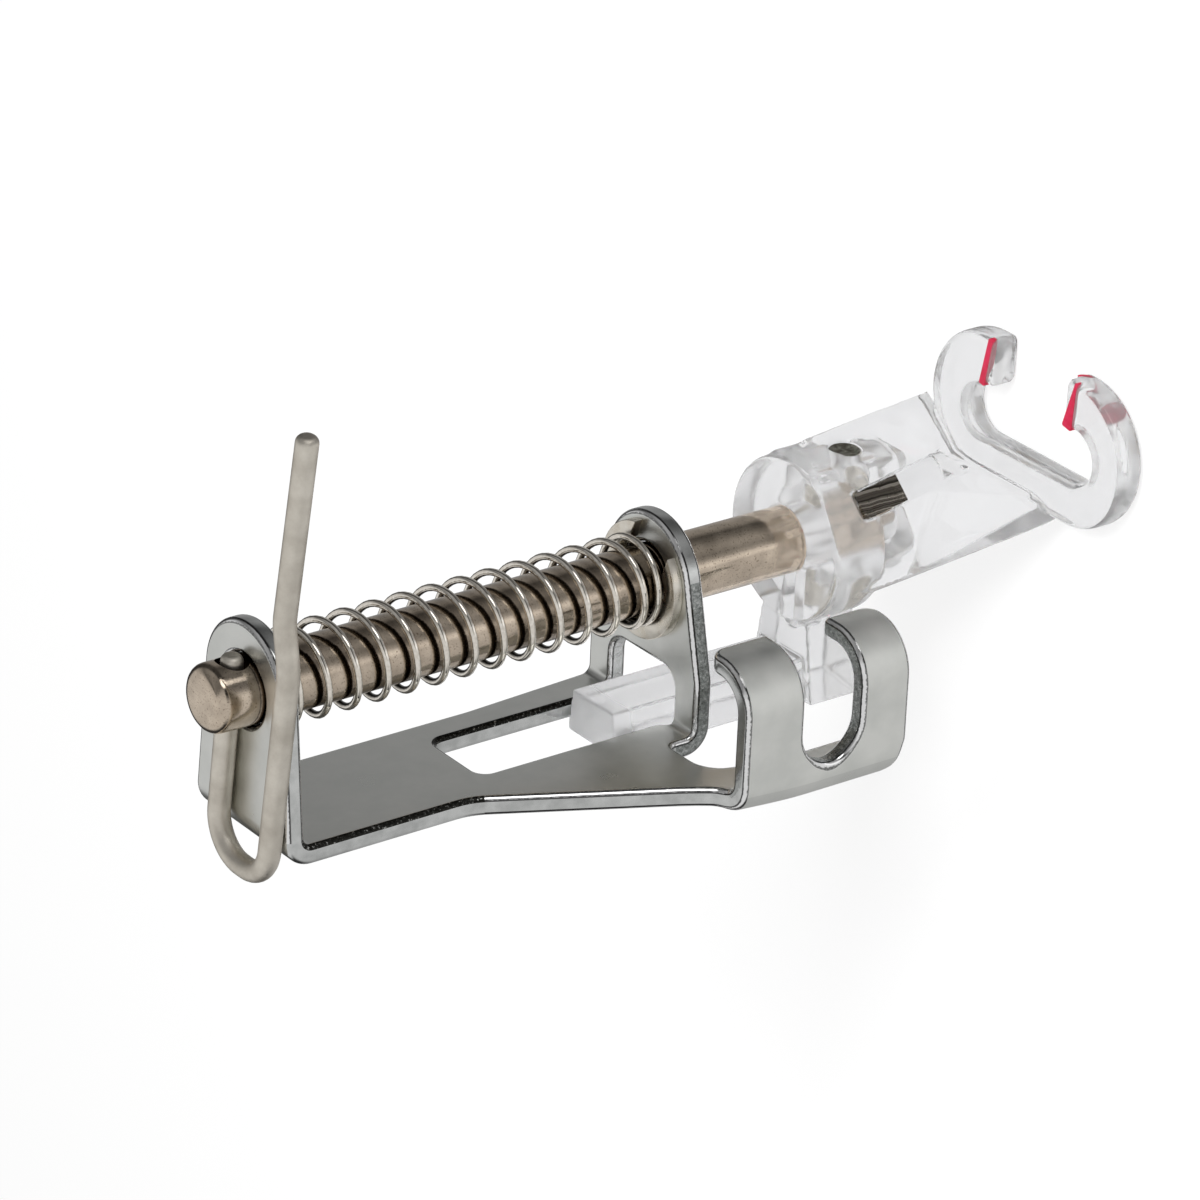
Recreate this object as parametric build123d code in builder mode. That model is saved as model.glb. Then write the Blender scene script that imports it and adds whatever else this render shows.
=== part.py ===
from build123d import *
import os

os.makedirs("parts", exist_ok=True)

# The foot stands as it hangs on the machine: Z is up along its shaft and the front looks to -Y.
# The origin is the thumb screw's centre, on the fork's outer face, which looks to -X.

# Main layout
shaft_side = 12.8          # shaft axis from the fork's outer face
shaft_front = 5.65         # shaft axis in front of the thumb screw
screw_to_ear = 3.9         # lower ear's upper face above the thumb screw
ear_gap = 26.1             # clear height between the two ears
strip_back = 8.0           # strip's front face behind the shaft axis
travel = 8.4               # how far the toe rises until its hub meets the lower ear
stop_gap = 0.3             # what is left between hub and ear at the top of the travel
running_gap = 0.08         # radial clearance of the shaft in the ears
seat_gap = 0.02            # radial clearance of pieces that are fixed to each other

# Sheet bracket
sheet = 1.2
inner_bend = 0.5
ear_round = 3.9            # radius of the ears' round heads
ear_head_lift = 0.1        # centre of the round heads in front of the shaft axis
upper_ear_half = 4.6       # half width of the upper ear at its fold
lower_ear_half = 5.15      # half width of the lower ear at its fold
lower_ear_shoulder = 3.3   # height of the lower ear's straight sides
foot_gap_half = 3.0        # half width of the opening between the lower ear's feet
foot_gap_height = 3.25
foot_gap_corner = 1.2
window_half = 2.45         # half width of the long window in the strip
window_length = 12.9
window_corner = 0.8
flare_start = 9.0          # where the strip's far edge starts to widen, above the lower ear
leg_start = 15.0           # where the near leg leaves the strip's edge, above the lower ear
notch_width = 3.4          # relief notch beside the lower ear
notch_radius = 0.9

# Fork plate, folded up from the near leg
screw_slot = 4.1
left_prong = 4.1
right_prong = 3.4
prong_top = 5.25           # upper face of the curled tabs in front of the screw centre
tab_length = 4.0           # tabs' tips from the fork's outer face
tab_bend = 1.1             # inner radius of the curl
tab_corner = 1.0
fork_base = 3.5            # width of the flat base behind the plate
fork_bend = 0.6
fork_corner = 2.0

# Shaft
shaft_diameter = 4.0
shaft_above_ear = 2.7
shaft_in_hub = 6.7         # length of the shaft inside the hub
shaft_round = 0.45
groove_depth = 0.4

# Retaining clip
clip_thickness = 0.6
clip_outer = 3.5
clip_inner = 2.45
clip_open_angle = 69.0     # direction of its mouth, from the fork's side towards the front
clip_mouth = 3.3
clip_lug = 1.3

# Lift wire
wire_diameter = 1.3
wire_turn = 5.3            # turn of the wire about the shaft
wire_ear_gap = 0.05
wire_nub = 2.75            # end of the short leg in front of the shaft axis
wire_bottom = 9.85
wire_spread = 4.85
wire_bend = 2.3
wire_kink_height = 3.6
wire_kink_spread = 5.45
wire_return_height = 5.8
wire_return_spread = 4.95
wire_tip_height = 18.4
wire_tip_spread = 5.45
wire_soft_bend = 3.0

# Spring
spring_wire = 0.43
spring_mean = 5.36
spring_pitch = 2.0

# Clear toe
hub_radius = 4.95
hub_height = 3.9
hub_edge = 0.6
hub_face_edge = 0.2
nose_radius = 3.1
nose_wall = 1.1            # plastic below the shaft's end
nose_edge = 0.8
boss_half = 2.4
boss_front = 4.75
boss_height = 7.0
boss_edge = 0.5
slit_width = 0.9
slit_side = 0.75
slit_depth = 2.0
arm_root_half = 1.35       # arm's half width at the shaft axis
arm_foot_half = 2.9        # and at its back
arm_drop = 0.4             # arm's upper face below the hub's top
bar_front = 7.0            # guide bar's front face behind the shaft axis
bar_front_half = 1.95
bar_back_half = 2.3
bar_thickness = 2.7
bar_reach = 13.3           # guide bar's end above the hub's top
bar_edge = 0.25
pin_diameter = 1.9
pin_rise = 2.5             # pin axis above the shaft's end
pin_length = 9.2

# Ring and leg of the toe
ring_drop = 11.3           # ring's upper face below the hub's top
ring_thickness = 1.9
ring_edge = 0.55
ring_side = 8.0            # ring's centre from the shaft axis, towards the fork
ring_front = 7.4           # ring's centre in front of the shaft axis
ring_width = 16.9
ring_depth = 9.0
eye_width = 11.2
eye_depth = 3.3
eye_shift = 0.55           # the eye lies this far behind the ring's centre
eye_side = 7.5             # centre of eye and mouth from the shaft axis
mouth_width = 6.5
leg_drop = 2.2             # leg's upper end below the hub's top
leg_sink = 0.6             # leg's lower end below the ring's upper face
leg_head_left = (-1.3, 5.3)
leg_head_right = (4.5, -2.3)
leg_fold_left = (-1.6, 5.8)
leg_fold_right = (5.7, -1.2)
fold_left_drop = 8.1       # ends of the fold across the leg's face, below the hub's top
fold_right_drop = 5.85
leg_thickness = 2.2
leg_foot_thickness = 1.5
leg_foot_inset = 0.9       # leg's face in front of the ring's back edge, at its foot
leg_foot_right = 2.5       # leg's far corner beyond the ring's centre
leg_turn = 6.4             # where the leg's foot turns forward, before the ring's centre
leg_wing = (-3.3, 2.2)     # from that turn to the leg's near corner
pocket_length = 3.8
pocket_width = 1.85
pocket_slope = 0.96        # rise of the pocket floor's normal, for 1 outwards
pocket_out = 2.9           # floor's centre from the shaft axis, towards the leg's face
pocket_aside = 0.5         # and this far to its front side
pocket_rise = 0.4          # floor's centre above the shaft's end
mark_width = 0.3
mark_wide_end = 0.75
mark_length = 3.0
mark_depth = 0.25
mark_inset = 0.12          # from the mouth's end faces
mark_front = 2.7           # marks' centre in front of the ring's centre

# Worked out from the sizes above
shaft_radius = shaft_diameter / 2
wire_radius = wire_diameter / 2
low_ear_top = screw_to_ear
low_ear_bottom = low_ear_top - sheet
top_ear_bottom = low_ear_top + ear_gap
top_ear_top = top_ear_bottom + sheet
shaft_top = top_ear_top + shaft_above_ear
hub_top = low_ear_bottom - travel - stop_gap
shaft_bottom = hub_top - shaft_in_hub
shaft_length = shaft_top - shaft_bottom
hub_bottom = hub_top - hub_height
ring_top = hub_top - ring_drop
sole = ring_top - ring_thickness
pin_height = shaft_bottom + pin_rise
clip_top = low_ear_top + clip_thickness
wire_height = top_ear_top + wire_ear_gap + wire_radius
strip_end = -strip_back - sheet
fork_left = screw_slot / 2 + left_prong
fork_right = screw_slot / 2 + right_prong
strip_y = strip_back - shaft_front
outer_bend = inner_bend + sheet
nose_bottom = shaft_bottom - nose_wall
bar_back = bar_front + bar_thickness
leg_top_height = hub_top - leg_drop
leg_foot_height = ring_top - leg_sink


def plan_plane(height):
    """Level plane at a height: x runs from the shaft axis to the fork, y to the front."""
    return Plane(origin=(shaft_side, -shaft_front, height), x_dir=(-1, 0, 0), z_dir=(0, 0, 1))


def profile_plane(side):
    """Upright plane across the strip: x runs to the front, y up."""
    return Plane(origin=(shaft_side - side, -shaft_front, 0), x_dir=(0, -1, 0), z_dir=(-1, 0, 0))


def strip_plane(back):
    """Upright plane along the strip: x runs from the shaft axis to the fork, y up."""
    return Plane(origin=(shaft_side, back - shaft_front, 0), x_dir=(-1, 0, 0), z_dir=(0, 1, 0))


def ear_outline(half_width, shoulder):
    """Ear seen along the shaft: a round head that runs out into straight sides."""
    with Locations((0, ear_head_lift)):
        Circle(ear_round)
    with Locations((0, strip_end)):
        Rectangle(2 * half_width, shoulder - strip_end, align=(Align.CENTER, Align.MIN))
    make_hull()


def mark_outline(side, inner, outer, length):
    """Slim mark beside the mouth, its width given at its inner and outer end."""
    middle = eye_side + side * (mouth_width / 2 + mark_inset + mark_wide_end / 2)
    near = ring_front + mark_front - length / 2
    far = near + length
    Polyline(
        (middle - inner / 2, near),
        (middle + inner / 2, near),
        (middle + outer / 2, far),
        (middle - outer / 2, far),
        close=True,
    )


def level_point(corner, height):
    """Point of a level outline, given as (towards the fork, to the front)."""
    return plan_plane(height).from_local_coords(Vector(*corner))


# Corners of the leg at its head, at the fold across its face and at its foot, its face first
leg_across = (Vector(*leg_head_right) - Vector(*leg_head_left)).normalized()
leg_outward = Vector(-leg_across.Y, leg_across.X)
leg_inward = plan_plane(0).x_dir * -leg_outward.X + plan_plane(0).y_dir * -leg_outward.Y
leg_ends = (
    (level_point(leg_head_left, leg_top_height), level_point(leg_head_right, leg_top_height)),
    (
        level_point(leg_fold_left, hub_top - fold_left_drop),
        level_point(leg_fold_right, hub_top - fold_right_drop),
    ),
)
leg_sections = []
for left, right in leg_ends:
    face_line = [left, (left + right) / 2, right]
    leg_sections.append(face_line + [point + leg_inward * leg_thickness for point in reversed(face_line)])
foot_face = ring_front - ring_depth / 2 + leg_foot_inset
foot_back = foot_face - leg_foot_thickness
leg_foot = (
    (ring_side - leg_turn + leg_wing[0], foot_face + leg_wing[1]),
    (ring_side - leg_turn, foot_face),
    (ring_side + leg_foot_right, foot_face),
    (ring_side + leg_foot_right, foot_back),
    (ring_side - leg_turn - 1.0, foot_back),
    (ring_side - leg_turn + leg_wing[0] - 1.3, foot_back + leg_wing[1]),
)
leg_sections.append([level_point(corner, leg_foot_height) for corner in leg_foot])

# The pocket's floor is a ramp from the shaft's end out to the leg's face
pocket_base = plan_plane(shaft_bottom + pocket_rise)
pocket_centre = leg_outward * pocket_out - leg_across * pocket_aside
pocket_span = pocket_base.x_dir * leg_across.X + pocket_base.y_dir * leg_across.Y
pocket_way = pocket_base.x_dir * leg_outward.X + pocket_base.y_dir * leg_outward.Y
pocket_plane = Plane(
    origin=pocket_base.from_local_coords(pocket_centre),
    x_dir=pocket_span,
    z_dir=pocket_way + Vector(0, 0, pocket_slope),
)

# Marks: side of the mouth, width at the inner and at the outer end
mark_shapes = ((-1, mark_width, mark_width), (1, mark_wide_end, mark_width))


# One piece of sheet: strip, two ears, near leg and fork.
with BuildPart() as bracket:
    # Strip with an ear folded up at each end
    ear_reach = ear_head_lift + ear_round + 1
    with BuildSketch(profile_plane(0)):
        with BuildLine():
            FilletPolyline(
                (ear_reach, top_ear_top),
                (strip_end, top_ear_top),
                (strip_end, low_ear_bottom),
                (ear_reach, low_ear_bottom),
                (ear_reach, low_ear_top),
                (-strip_back, low_ear_top),
                (-strip_back, top_ear_bottom),
                (ear_reach, top_ear_bottom),
                radius=[0, outer_bend, outer_bend, 0, 0, inner_bend, inner_bend, 0],
                close=True,
            )
        make_face()
    extrude(amount=lower_ear_half, both=True)

    # Outlines of the ears, cut from the folded blank
    for height, half_width, shoulder in (
        (top_ear_bottom - outer_bend, upper_ear_half, -strip_back + inner_bend),
        (low_ear_bottom, lower_ear_half, -strip_back + lower_ear_shoulder),
    ):
        with BuildSketch(plan_plane(height)):
            with Locations((0, strip_end - 1)):
                Rectangle(4 * lower_ear_half, ear_reach - strip_end + 2, align=(Align.CENTER, Align.MIN))
            with BuildSketch(mode=Mode.PRIVATE) as ear:
                ear_outline(half_width, shoulder)
            add(ear.sketch, mode=Mode.SUBTRACT)
        extrude(amount=outer_bend + sheet, mode=Mode.SUBTRACT)

    # The strip is narrower than the lower ear and widens towards it on the far side
    flare_top = low_ear_top + flare_start
    leg_top = low_ear_top + leg_start
    with BuildSketch(strip_plane(strip_back - sheet)):
        for side, start in ((-1, flare_top), (1, leg_top)):
            with BuildLine():
                Polyline(
                    (side * upper_ear_half, top_ear_top + 1),
                    (side * upper_ear_half, start),
                    (side * lower_ear_half, low_ear_top),
                    (side * (lower_ear_half + 1), low_ear_top),
                    (side * (lower_ear_half + 1), top_ear_top + 1),
                    close=True,
                )
            make_face()
    extrude(amount=3 * sheet, mode=Mode.SUBTRACT)

    # Near leg, slanting out to the fork in the plane of the strip
    base_edge = shaft_side - fork_base
    leg_edge = shaft_side - fork_bend - sheet
    with BuildSketch(strip_plane(strip_back)) as leg:
        with BuildLine():
            FilletPolyline(
                (window_half, leg_top + window_half),
                (upper_ear_half, leg_top + 1.0),
                (upper_ear_half, leg_top),
                (leg_edge, fork_left),
                (leg_edge + sheet, fork_left),
                (leg_edge + sheet, -fork_right),
                (base_edge, -fork_right),
                (base_edge, low_ear_bottom - inner_bend),
                (lower_ear_half + notch_width, low_ear_top + outer_bend),
                (lower_ear_half, low_ear_top + outer_bend),
                (lower_ear_half, low_ear_top + inner_bend),
                (window_half, low_ear_top + inner_bend),
                radius=[0, 0, 4.0, 1.2, 0, 0, tab_corner, 2.0, 1.6, notch_radius / 2, 0, 0],
                close=True,
            )
        make_face()
    extrude(amount=sheet)

    # Fork: base, plate and the tabs curled towards the presser bar
    fork_back = -strip_back - sheet
    tab_top = prong_top - shaft_front
    tip = shaft_side - tab_length
    with BuildSketch(plan_plane(-fork_right)):
        with BuildLine():
            FilletPolyline(
                (base_edge, fork_back),
                (shaft_side, fork_back),
                (shaft_side, tab_top),
                (tip, tab_top),
                (tip, tab_top - sheet),
                (shaft_side - sheet, tab_top - sheet),
                (shaft_side - sheet, -strip_back),
                (base_edge, -strip_back),
                radius=[0, fork_bend + sheet, tab_bend + sheet, 0, 0, tab_bend, fork_bend, 0],
                close=True,
            )
        make_face()
    extrude(amount=fork_right + fork_left)

    # Screw slot, open to the front, through the plate and between the tabs
    slot_plane = Plane(origin=(0, 0, 0), x_dir=(0, -1, 0), z_dir=(-1, 0, 0))
    with BuildSketch(slot_plane):
        Circle(screw_slot / 2)
        Rectangle(2 * prong_top, screw_slot, align=(Align.MIN, Align.CENTER))
    extrude(amount=-2 * tab_length, mode=Mode.SUBTRACT)

    # Rounded far lower corner of the fork
    with BuildSketch(slot_plane):
        with Locations((fork_back + shaft_front, -fork_right)):
            corner_block = Rectangle(fork_corner, fork_corner, align=(Align.MIN, Align.MIN))
            with Locations((fork_corner, fork_corner)):
                Circle(fork_corner, mode=Mode.SUBTRACT)
    extrude(amount=-2 * fork_base, mode=Mode.SUBTRACT)

    # Tabs have rounded tips
    tab_tips = (
        bracket.edges()
        .filter_by(Axis.Y)
        .filter_by(lambda edge: abs(edge.center().X - tab_length) < 0.01)
        .filter_by(lambda edge: abs(edge.center().Y + prong_top - sheet / 2) < 0.01)
    )
    fillet(tab_tips, tab_corner)

    # Window of the strip and the opening between the lower ear's feet, one behind the other
    window_top = low_ear_top + window_length
    with BuildSketch(strip_plane(strip_back)):
        with Locations((0, window_top)):
            RectangleRounded(
                2 * window_half,
                2 * (window_length + outer_bend),
                window_corner,
                align=(Align.CENTER, Align.MAX),
            )
    extrude(amount=sheet + 1, mode=Mode.SUBTRACT)
    with BuildSketch(plan_plane(low_ear_bottom - 1)):
        with Locations((0, foot_gap_height - strip_back)):
            RectangleRounded(
                2 * foot_gap_half, 2 * foot_gap_height, foot_gap_corner, align=(Align.CENTER, Align.MAX)
            )
        with Locations((0, -strip_back)):
            Rectangle(
                3 * foot_gap_half,
                3 * foot_gap_height,
                align=(Align.CENTER, Align.MAX),
                mode=Mode.SUBTRACT,
            )
    extrude(amount=sheet + 1 + inner_bend, mode=Mode.SUBTRACT)

    # Both ears are bored for the shaft in one pass
    with BuildSketch(plan_plane(low_ear_bottom - 1)):
        Circle(shaft_radius + running_gap)
    extrude(amount=top_ear_top - low_ear_bottom + 2, mode=Mode.SUBTRACT)

bracket.part.label = "bracket"
export_step(bracket.part, "parts/bracket.step")

# Plated shaft with a rounded head, a clip groove and two cross holes
with BuildPart() as shaft:
    with BuildSketch(plan_plane(shaft_bottom)):
        Circle(shaft_radius)
    extrude(amount=shaft_length)
    fillet(shaft.edges().group_by(Axis.Z)[-1], shaft_round)
    chamfer(shaft.edges().group_by(Axis.Z)[0], shaft_round / 2)
    with BuildSketch(plan_plane(low_ear_top)):
        Circle(shaft_radius + 1)
        Circle(shaft_radius - groove_depth, mode=Mode.SUBTRACT)
    extrude(amount=clip_thickness + seat_gap, mode=Mode.SUBTRACT)
    wire_plane = plan_plane(wire_height).rotated((0, 0, -wire_turn))
    with BuildSketch(Plane(wire_plane.origin, x_dir=wire_plane.x_dir, z_dir=wire_plane.y_dir)):
        Circle(wire_radius + seat_gap)
    extrude(amount=2 * shaft_diameter, both=True, mode=Mode.SUBTRACT)
    with BuildSketch(strip_plane(0).offset(-2 * shaft_diameter)):
        with Locations((0, pin_height)):
            Circle(pin_diameter / 2 + seat_gap)
    extrude(amount=4 * shaft_diameter, mode=Mode.SUBTRACT)

shaft.part.label = "shaft"
export_step(shaft.part, "parts/shaft.step")

# Open retaining clip, sprung into the groove on top of the lower ear
with BuildPart() as clip:
    with BuildSketch(plan_plane(low_ear_top)):
        Circle(clip_outer)
        Circle(clip_inner, mode=Mode.SUBTRACT)
        mouth = clip_open_angle
        for turn in (mouth + 90, mouth + 180, mouth + 270):
            with Locations(Rot(0, 0, turn)):
                with Locations((clip_inner - clip_lug / 2, 0)):
                    Rectangle(2 * clip_lug, clip_lug)
        with Locations(Rot(0, 0, mouth)):
            Rectangle(2 * clip_outer, clip_mouth, align=(Align.MIN, Align.CENTER), mode=Mode.SUBTRACT)
        Circle(shaft_radius - groove_depth + seat_gap, mode=Mode.SUBTRACT)
    extrude(amount=clip_thickness)

clip.part.label = "clip"
export_step(clip.part, "parts/clip.step")

# Lift wire: short leg through the shaft, a U below, and the long arm that rides on the needle clamp
with BuildPart() as lift_wire:
    with BuildLine(wire_plane) as wire_line:
        FilletPolyline(
            (0, wire_nub),
            (0, -wire_bottom),
            (wire_spread, -wire_bottom),
            (wire_kink_spread, wire_kink_height),
            (wire_return_spread, wire_return_height),
            (wire_tip_spread, wire_tip_height),
            radius=[wire_bend, wire_bend, wire_soft_bend, wire_soft_bend],
        )
    with BuildSketch(Plane(wire_line.line @ 0, z_dir=wire_line.line % 0)):
        Circle(wire_radius)
    sweep(path=wire_line.line)
    wire_ends = lift_wire.faces().filter_by(GeomType.PLANE)
    fillet(wire_ends.edges(), wire_radius * 0.7)

lift_wire.part.label = "lift_wire"
export_step(lift_wire.part, "parts/lift_wire.step")

# Compression spring between the clip and the upper ear, with one closed turn at each end
spring_low = clip_top + spring_wire / 2
spring_high = top_ear_bottom - spring_wire / 2
coil_low = spring_low + spring_wire + seat_gap
coil_high = spring_high - spring_wire - seat_gap
with BuildPart() as spring:
    with BuildLine(plan_plane(coil_low)) as coil:
        Helix(pitch=spring_pitch, height=coil_high - coil_low, radius=spring_mean / 2)
    with BuildSketch(Plane(coil.line @ 0, z_dir=coil.line % 0)):
        Circle(spring_wire / 2)
    sweep(path=coil.line, is_frenet=True)
    for height in (spring_low, spring_high):
        with BuildSketch(profile_plane(0)):
            with Locations((spring_mean / 2, height)):
                Circle(spring_wire / 2)
        revolve(axis=Axis((shaft_side, -shaft_front, 0), (0, 0, 1)))

spring.part.label = "spring"
export_step(spring.part, "parts/spring.step")

# Clear toe: hub, guide arm and bar, leg and open ring, moulded as one
with BuildPart() as clear_toe:
    # Leg: a folded plate that leans out from the hub and follows the back of the ring
    for leaf in ((0, 1, 4, 5), (1, 2, 3, 4)):
        outlines = [
            Face(Wire.make_polygon([section[i] for i in leaf], close=True)) for section in leg_sections
        ]
        loft(outlines[:2], ruled=True)
        loft(outlines[1:], ruled=True)

    # Ring with rounded rims and a mouth open to the front
    with BuildSketch(plan_plane(sole), mode=Mode.PRIVATE) as ring:
        with Locations((ring_side, ring_front)):
            SlotOverall(ring_width, ring_depth)
        with Locations((eye_side, ring_front - eye_shift)):
            SlotOverall(eye_width, eye_depth, mode=Mode.SUBTRACT)
    ring_body = extrude(ring.sketch, amount=ring_thickness, dir=(0, 0, 1), mode=Mode.PRIVATE)
    rims = ring_body.edges().group_by(Axis.Z)
    ring_body = ring_body.fillet(ring_edge, rims[0] + rims[-1])
    with BuildSketch(plan_plane(sole - 1), mode=Mode.PRIVATE) as mouth_cut:
        with Locations((eye_side, ring_front - eye_shift)):
            Rectangle(mouth_width, ring_depth, align=(Align.CENTER, Align.MIN))
    ring_body -= extrude(mouth_cut.sketch, amount=ring_thickness + 2, dir=(0, 0, 1), mode=Mode.PRIVATE)
    add(ring_body)

    # Hub round the shaft, with a smaller nose that closes the shaft's end
    with BuildSketch(profile_plane(0)):
        with BuildLine():
            FilletPolyline(
                (0, hub_top),
                (hub_radius, hub_top),
                (hub_radius, hub_bottom),
                (nose_radius, hub_bottom),
                (nose_radius, nose_bottom),
                (0, nose_bottom),
                radius=[0, hub_face_edge, hub_edge, hub_edge / 3, nose_edge, 0],
                close=True,
            )
        make_face()
    revolve(axis=Axis((shaft_side, -shaft_front, 0), (0, 0, 1)))

    # Boss that carries the pin
    with BuildSketch(plan_plane(hub_top - boss_height)):
        RectangleRounded(2 * boss_half, 2 * boss_front, boss_edge)
        Rectangle(3 * boss_half, 2 * boss_front, align=(Align.CENTER, Align.MAX), mode=Mode.SUBTRACT)
    extrude(amount=boss_height - hub_edge)

    # Guide arm behind the hub, wider towards its back
    with BuildSketch(plan_plane(hub_bottom)):
        with BuildLine():
            Polyline(
                (-arm_root_half, 0),
                (arm_root_half, 0),
                (arm_foot_half, -bar_back),
                (-arm_foot_half, -bar_back),
                close=True,
            )
        make_face()
    extrude(amount=hub_height - arm_drop)

    # Bar that runs up from the arm through the window of the strip
    with BuildSketch(plan_plane(hub_bottom)):
        with BuildLine():
            FilletPolyline(
                (-bar_front_half, -bar_front),
                (bar_front_half, -bar_front),
                (bar_back_half, -bar_back),
                (-bar_back_half, -bar_back),
                radius=[0, 0, bar_edge, bar_edge],
                close=True,
            )
        make_face()
    extrude(amount=hub_height + bar_reach)

    # Slit in the hub's upper face, from the bore to the arm
    with BuildSketch(plan_plane(hub_top - slit_depth)):
        with Locations((slit_side, 0)):
            Rectangle(slit_width, hub_radius + arm_drop, align=(Align.CENTER, Align.MAX))
    extrude(amount=slit_depth + 1, mode=Mode.SUBTRACT)

    # Seats of the shaft and its pin
    with BuildSketch(plan_plane(shaft_bottom - seat_gap)):
        Circle(shaft_radius + seat_gap)
    extrude(amount=shaft_length, mode=Mode.SUBTRACT)
    with BuildSketch(strip_plane(-boss_front - 1)):
        with Locations((0, pin_height)):
            Circle(pin_diameter / 2 + seat_gap)
    extrude(amount=pin_length + 1 + seat_gap, mode=Mode.SUBTRACT)

    # Ramped pocket in the leg's face, in which the shaft's end shows
    with BuildSketch(pocket_plane):
        Rectangle(pocket_width, pocket_length)
    extrude(amount=nose_radius, mode=Mode.SUBTRACT)

    # Shallow grooves for the two painted marks
    for side, inner, outer in mark_shapes:
        with BuildSketch(plan_plane(ring_top - mark_depth - seat_gap)):
            with BuildLine():
                mark_outline(side, inner + seat_gap, outer + seat_gap, mark_length + 2 * seat_gap)
            make_face()
        extrude(amount=mark_depth + 1, mode=Mode.SUBTRACT)

clear_toe.part.label = "clear_toe"
export_step(clear_toe.part, "parts/clear_toe.step")

# Cross pin that holds the toe on the shaft
with BuildPart() as foot_pin:
    with BuildSketch(strip_plane(-boss_front)):
        with Locations((0, pin_height)):
            Circle(pin_diameter / 2)
    extrude(amount=pin_length)
    fillet(foot_pin.edges().filter_by(GeomType.CIRCLE), pin_diameter / 16)

foot_pin.part.label = "foot_pin"
export_step(foot_pin.part, "parts/foot_pin.step")

# Painted marks beside the ring's mouth
with BuildPart() as left_mark:
    side, inner, outer = mark_shapes[0]
    with BuildSketch(plan_plane(ring_top - mark_depth)):
        with BuildLine():
            mark_outline(side, inner, outer, mark_length)
        make_face()
    extrude(amount=mark_depth)

left_mark.part.label = "left_mark"
export_step(left_mark.part, "parts/left_mark.step")

with BuildPart() as right_mark:
    side, inner, outer = mark_shapes[1]
    with BuildSketch(plan_plane(ring_top - mark_depth)):
        with BuildLine():
            mark_outline(side, inner, outer, mark_length)
        make_face()
    extrude(amount=mark_depth)

right_mark.part.label = "right_mark"
export_step(right_mark.part, "parts/right_mark.step")
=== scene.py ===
import bpy
import bmesh
import math
from mathutils import Matrix, Vector


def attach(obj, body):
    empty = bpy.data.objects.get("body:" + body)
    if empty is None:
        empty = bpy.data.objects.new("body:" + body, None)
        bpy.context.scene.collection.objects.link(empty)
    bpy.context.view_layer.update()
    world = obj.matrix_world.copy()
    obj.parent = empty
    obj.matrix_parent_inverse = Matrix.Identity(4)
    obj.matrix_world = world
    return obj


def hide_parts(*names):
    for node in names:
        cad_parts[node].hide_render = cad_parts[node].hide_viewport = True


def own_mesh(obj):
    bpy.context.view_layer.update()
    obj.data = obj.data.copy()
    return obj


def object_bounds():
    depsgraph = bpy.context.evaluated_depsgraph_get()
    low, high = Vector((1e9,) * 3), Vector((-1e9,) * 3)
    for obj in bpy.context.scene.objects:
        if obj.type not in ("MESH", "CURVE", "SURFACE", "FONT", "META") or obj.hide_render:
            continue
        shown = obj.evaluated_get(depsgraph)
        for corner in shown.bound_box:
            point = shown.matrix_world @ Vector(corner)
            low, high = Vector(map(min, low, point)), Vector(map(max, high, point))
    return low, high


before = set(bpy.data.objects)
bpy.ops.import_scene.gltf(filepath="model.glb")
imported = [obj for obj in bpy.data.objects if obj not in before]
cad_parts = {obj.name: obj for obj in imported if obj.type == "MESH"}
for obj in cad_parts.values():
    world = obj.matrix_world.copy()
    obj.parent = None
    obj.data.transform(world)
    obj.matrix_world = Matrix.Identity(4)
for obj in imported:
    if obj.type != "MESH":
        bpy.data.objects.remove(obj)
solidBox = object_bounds()
print("frame loaded:", ", ".join(sorted(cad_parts)))

mm = 0.001
pi = math.pi

# heights, places and thicknesses that several pieces share, in mm
layout = {
    "shaftX": 12.8,
    "shaftY": -5.65,
    "sheet": 1.2,
    "clip": 0.6,
    "lowEarTop": 3.9,
    "topEarBottom": 30.0,
    "shaftTop": 33.9,
    "shaftLow": -12.7,
    "hubTop": -6.0,
    "pinHeight": -10.2,
    "travel": 8.4,
}


def at(side, front, up):
    # side runs from the shaft to the fork, front away from the strip, up along the shaft
    return Vector((layout["shaftX"] - side, layout["shaftY"] - front, up))


def ease(value, start, end):
    # 0 before the start, 1 past the end, with a soft slope between
    share = min(max((value - start) / (end - start), 0), 1)
    return share * share * (3 - 2 * share)


# mesh tools shared by the pieces

def toPiece(bm, name):
    bmesh.ops.scale(bm, vec=(mm, mm, mm), verts=bm.verts)
    mesh = bpy.data.meshes.new(name)
    bm.to_mesh(mesh)
    bm.free()
    piece = bpy.data.objects.new(name, mesh)
    bpy.context.scene.collection.objects.link(piece)
    return piece


def smooth(piece, angle=35):
    for face in piece.data.polygons:
        face.use_smooth = True
    piece.data.set_sharp_from_angle(angle=math.radians(angle))


def applyModifiers(piece):
    graph = bpy.context.evaluated_depsgraph_get()
    mesh = bpy.data.meshes.new_from_object(piece.evaluated_get(graph))
    piece.modifiers.clear()
    piece.data = mesh


def evenNormals(piece, weight=50):
    # keeps flat faces flat in the light beside their rounded edges
    step = piece.modifiers.new("evenFaces", "WEIGHTED_NORMAL")
    step.keep_sharp = True
    step.weight = weight
    applyModifiers(piece)


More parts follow.
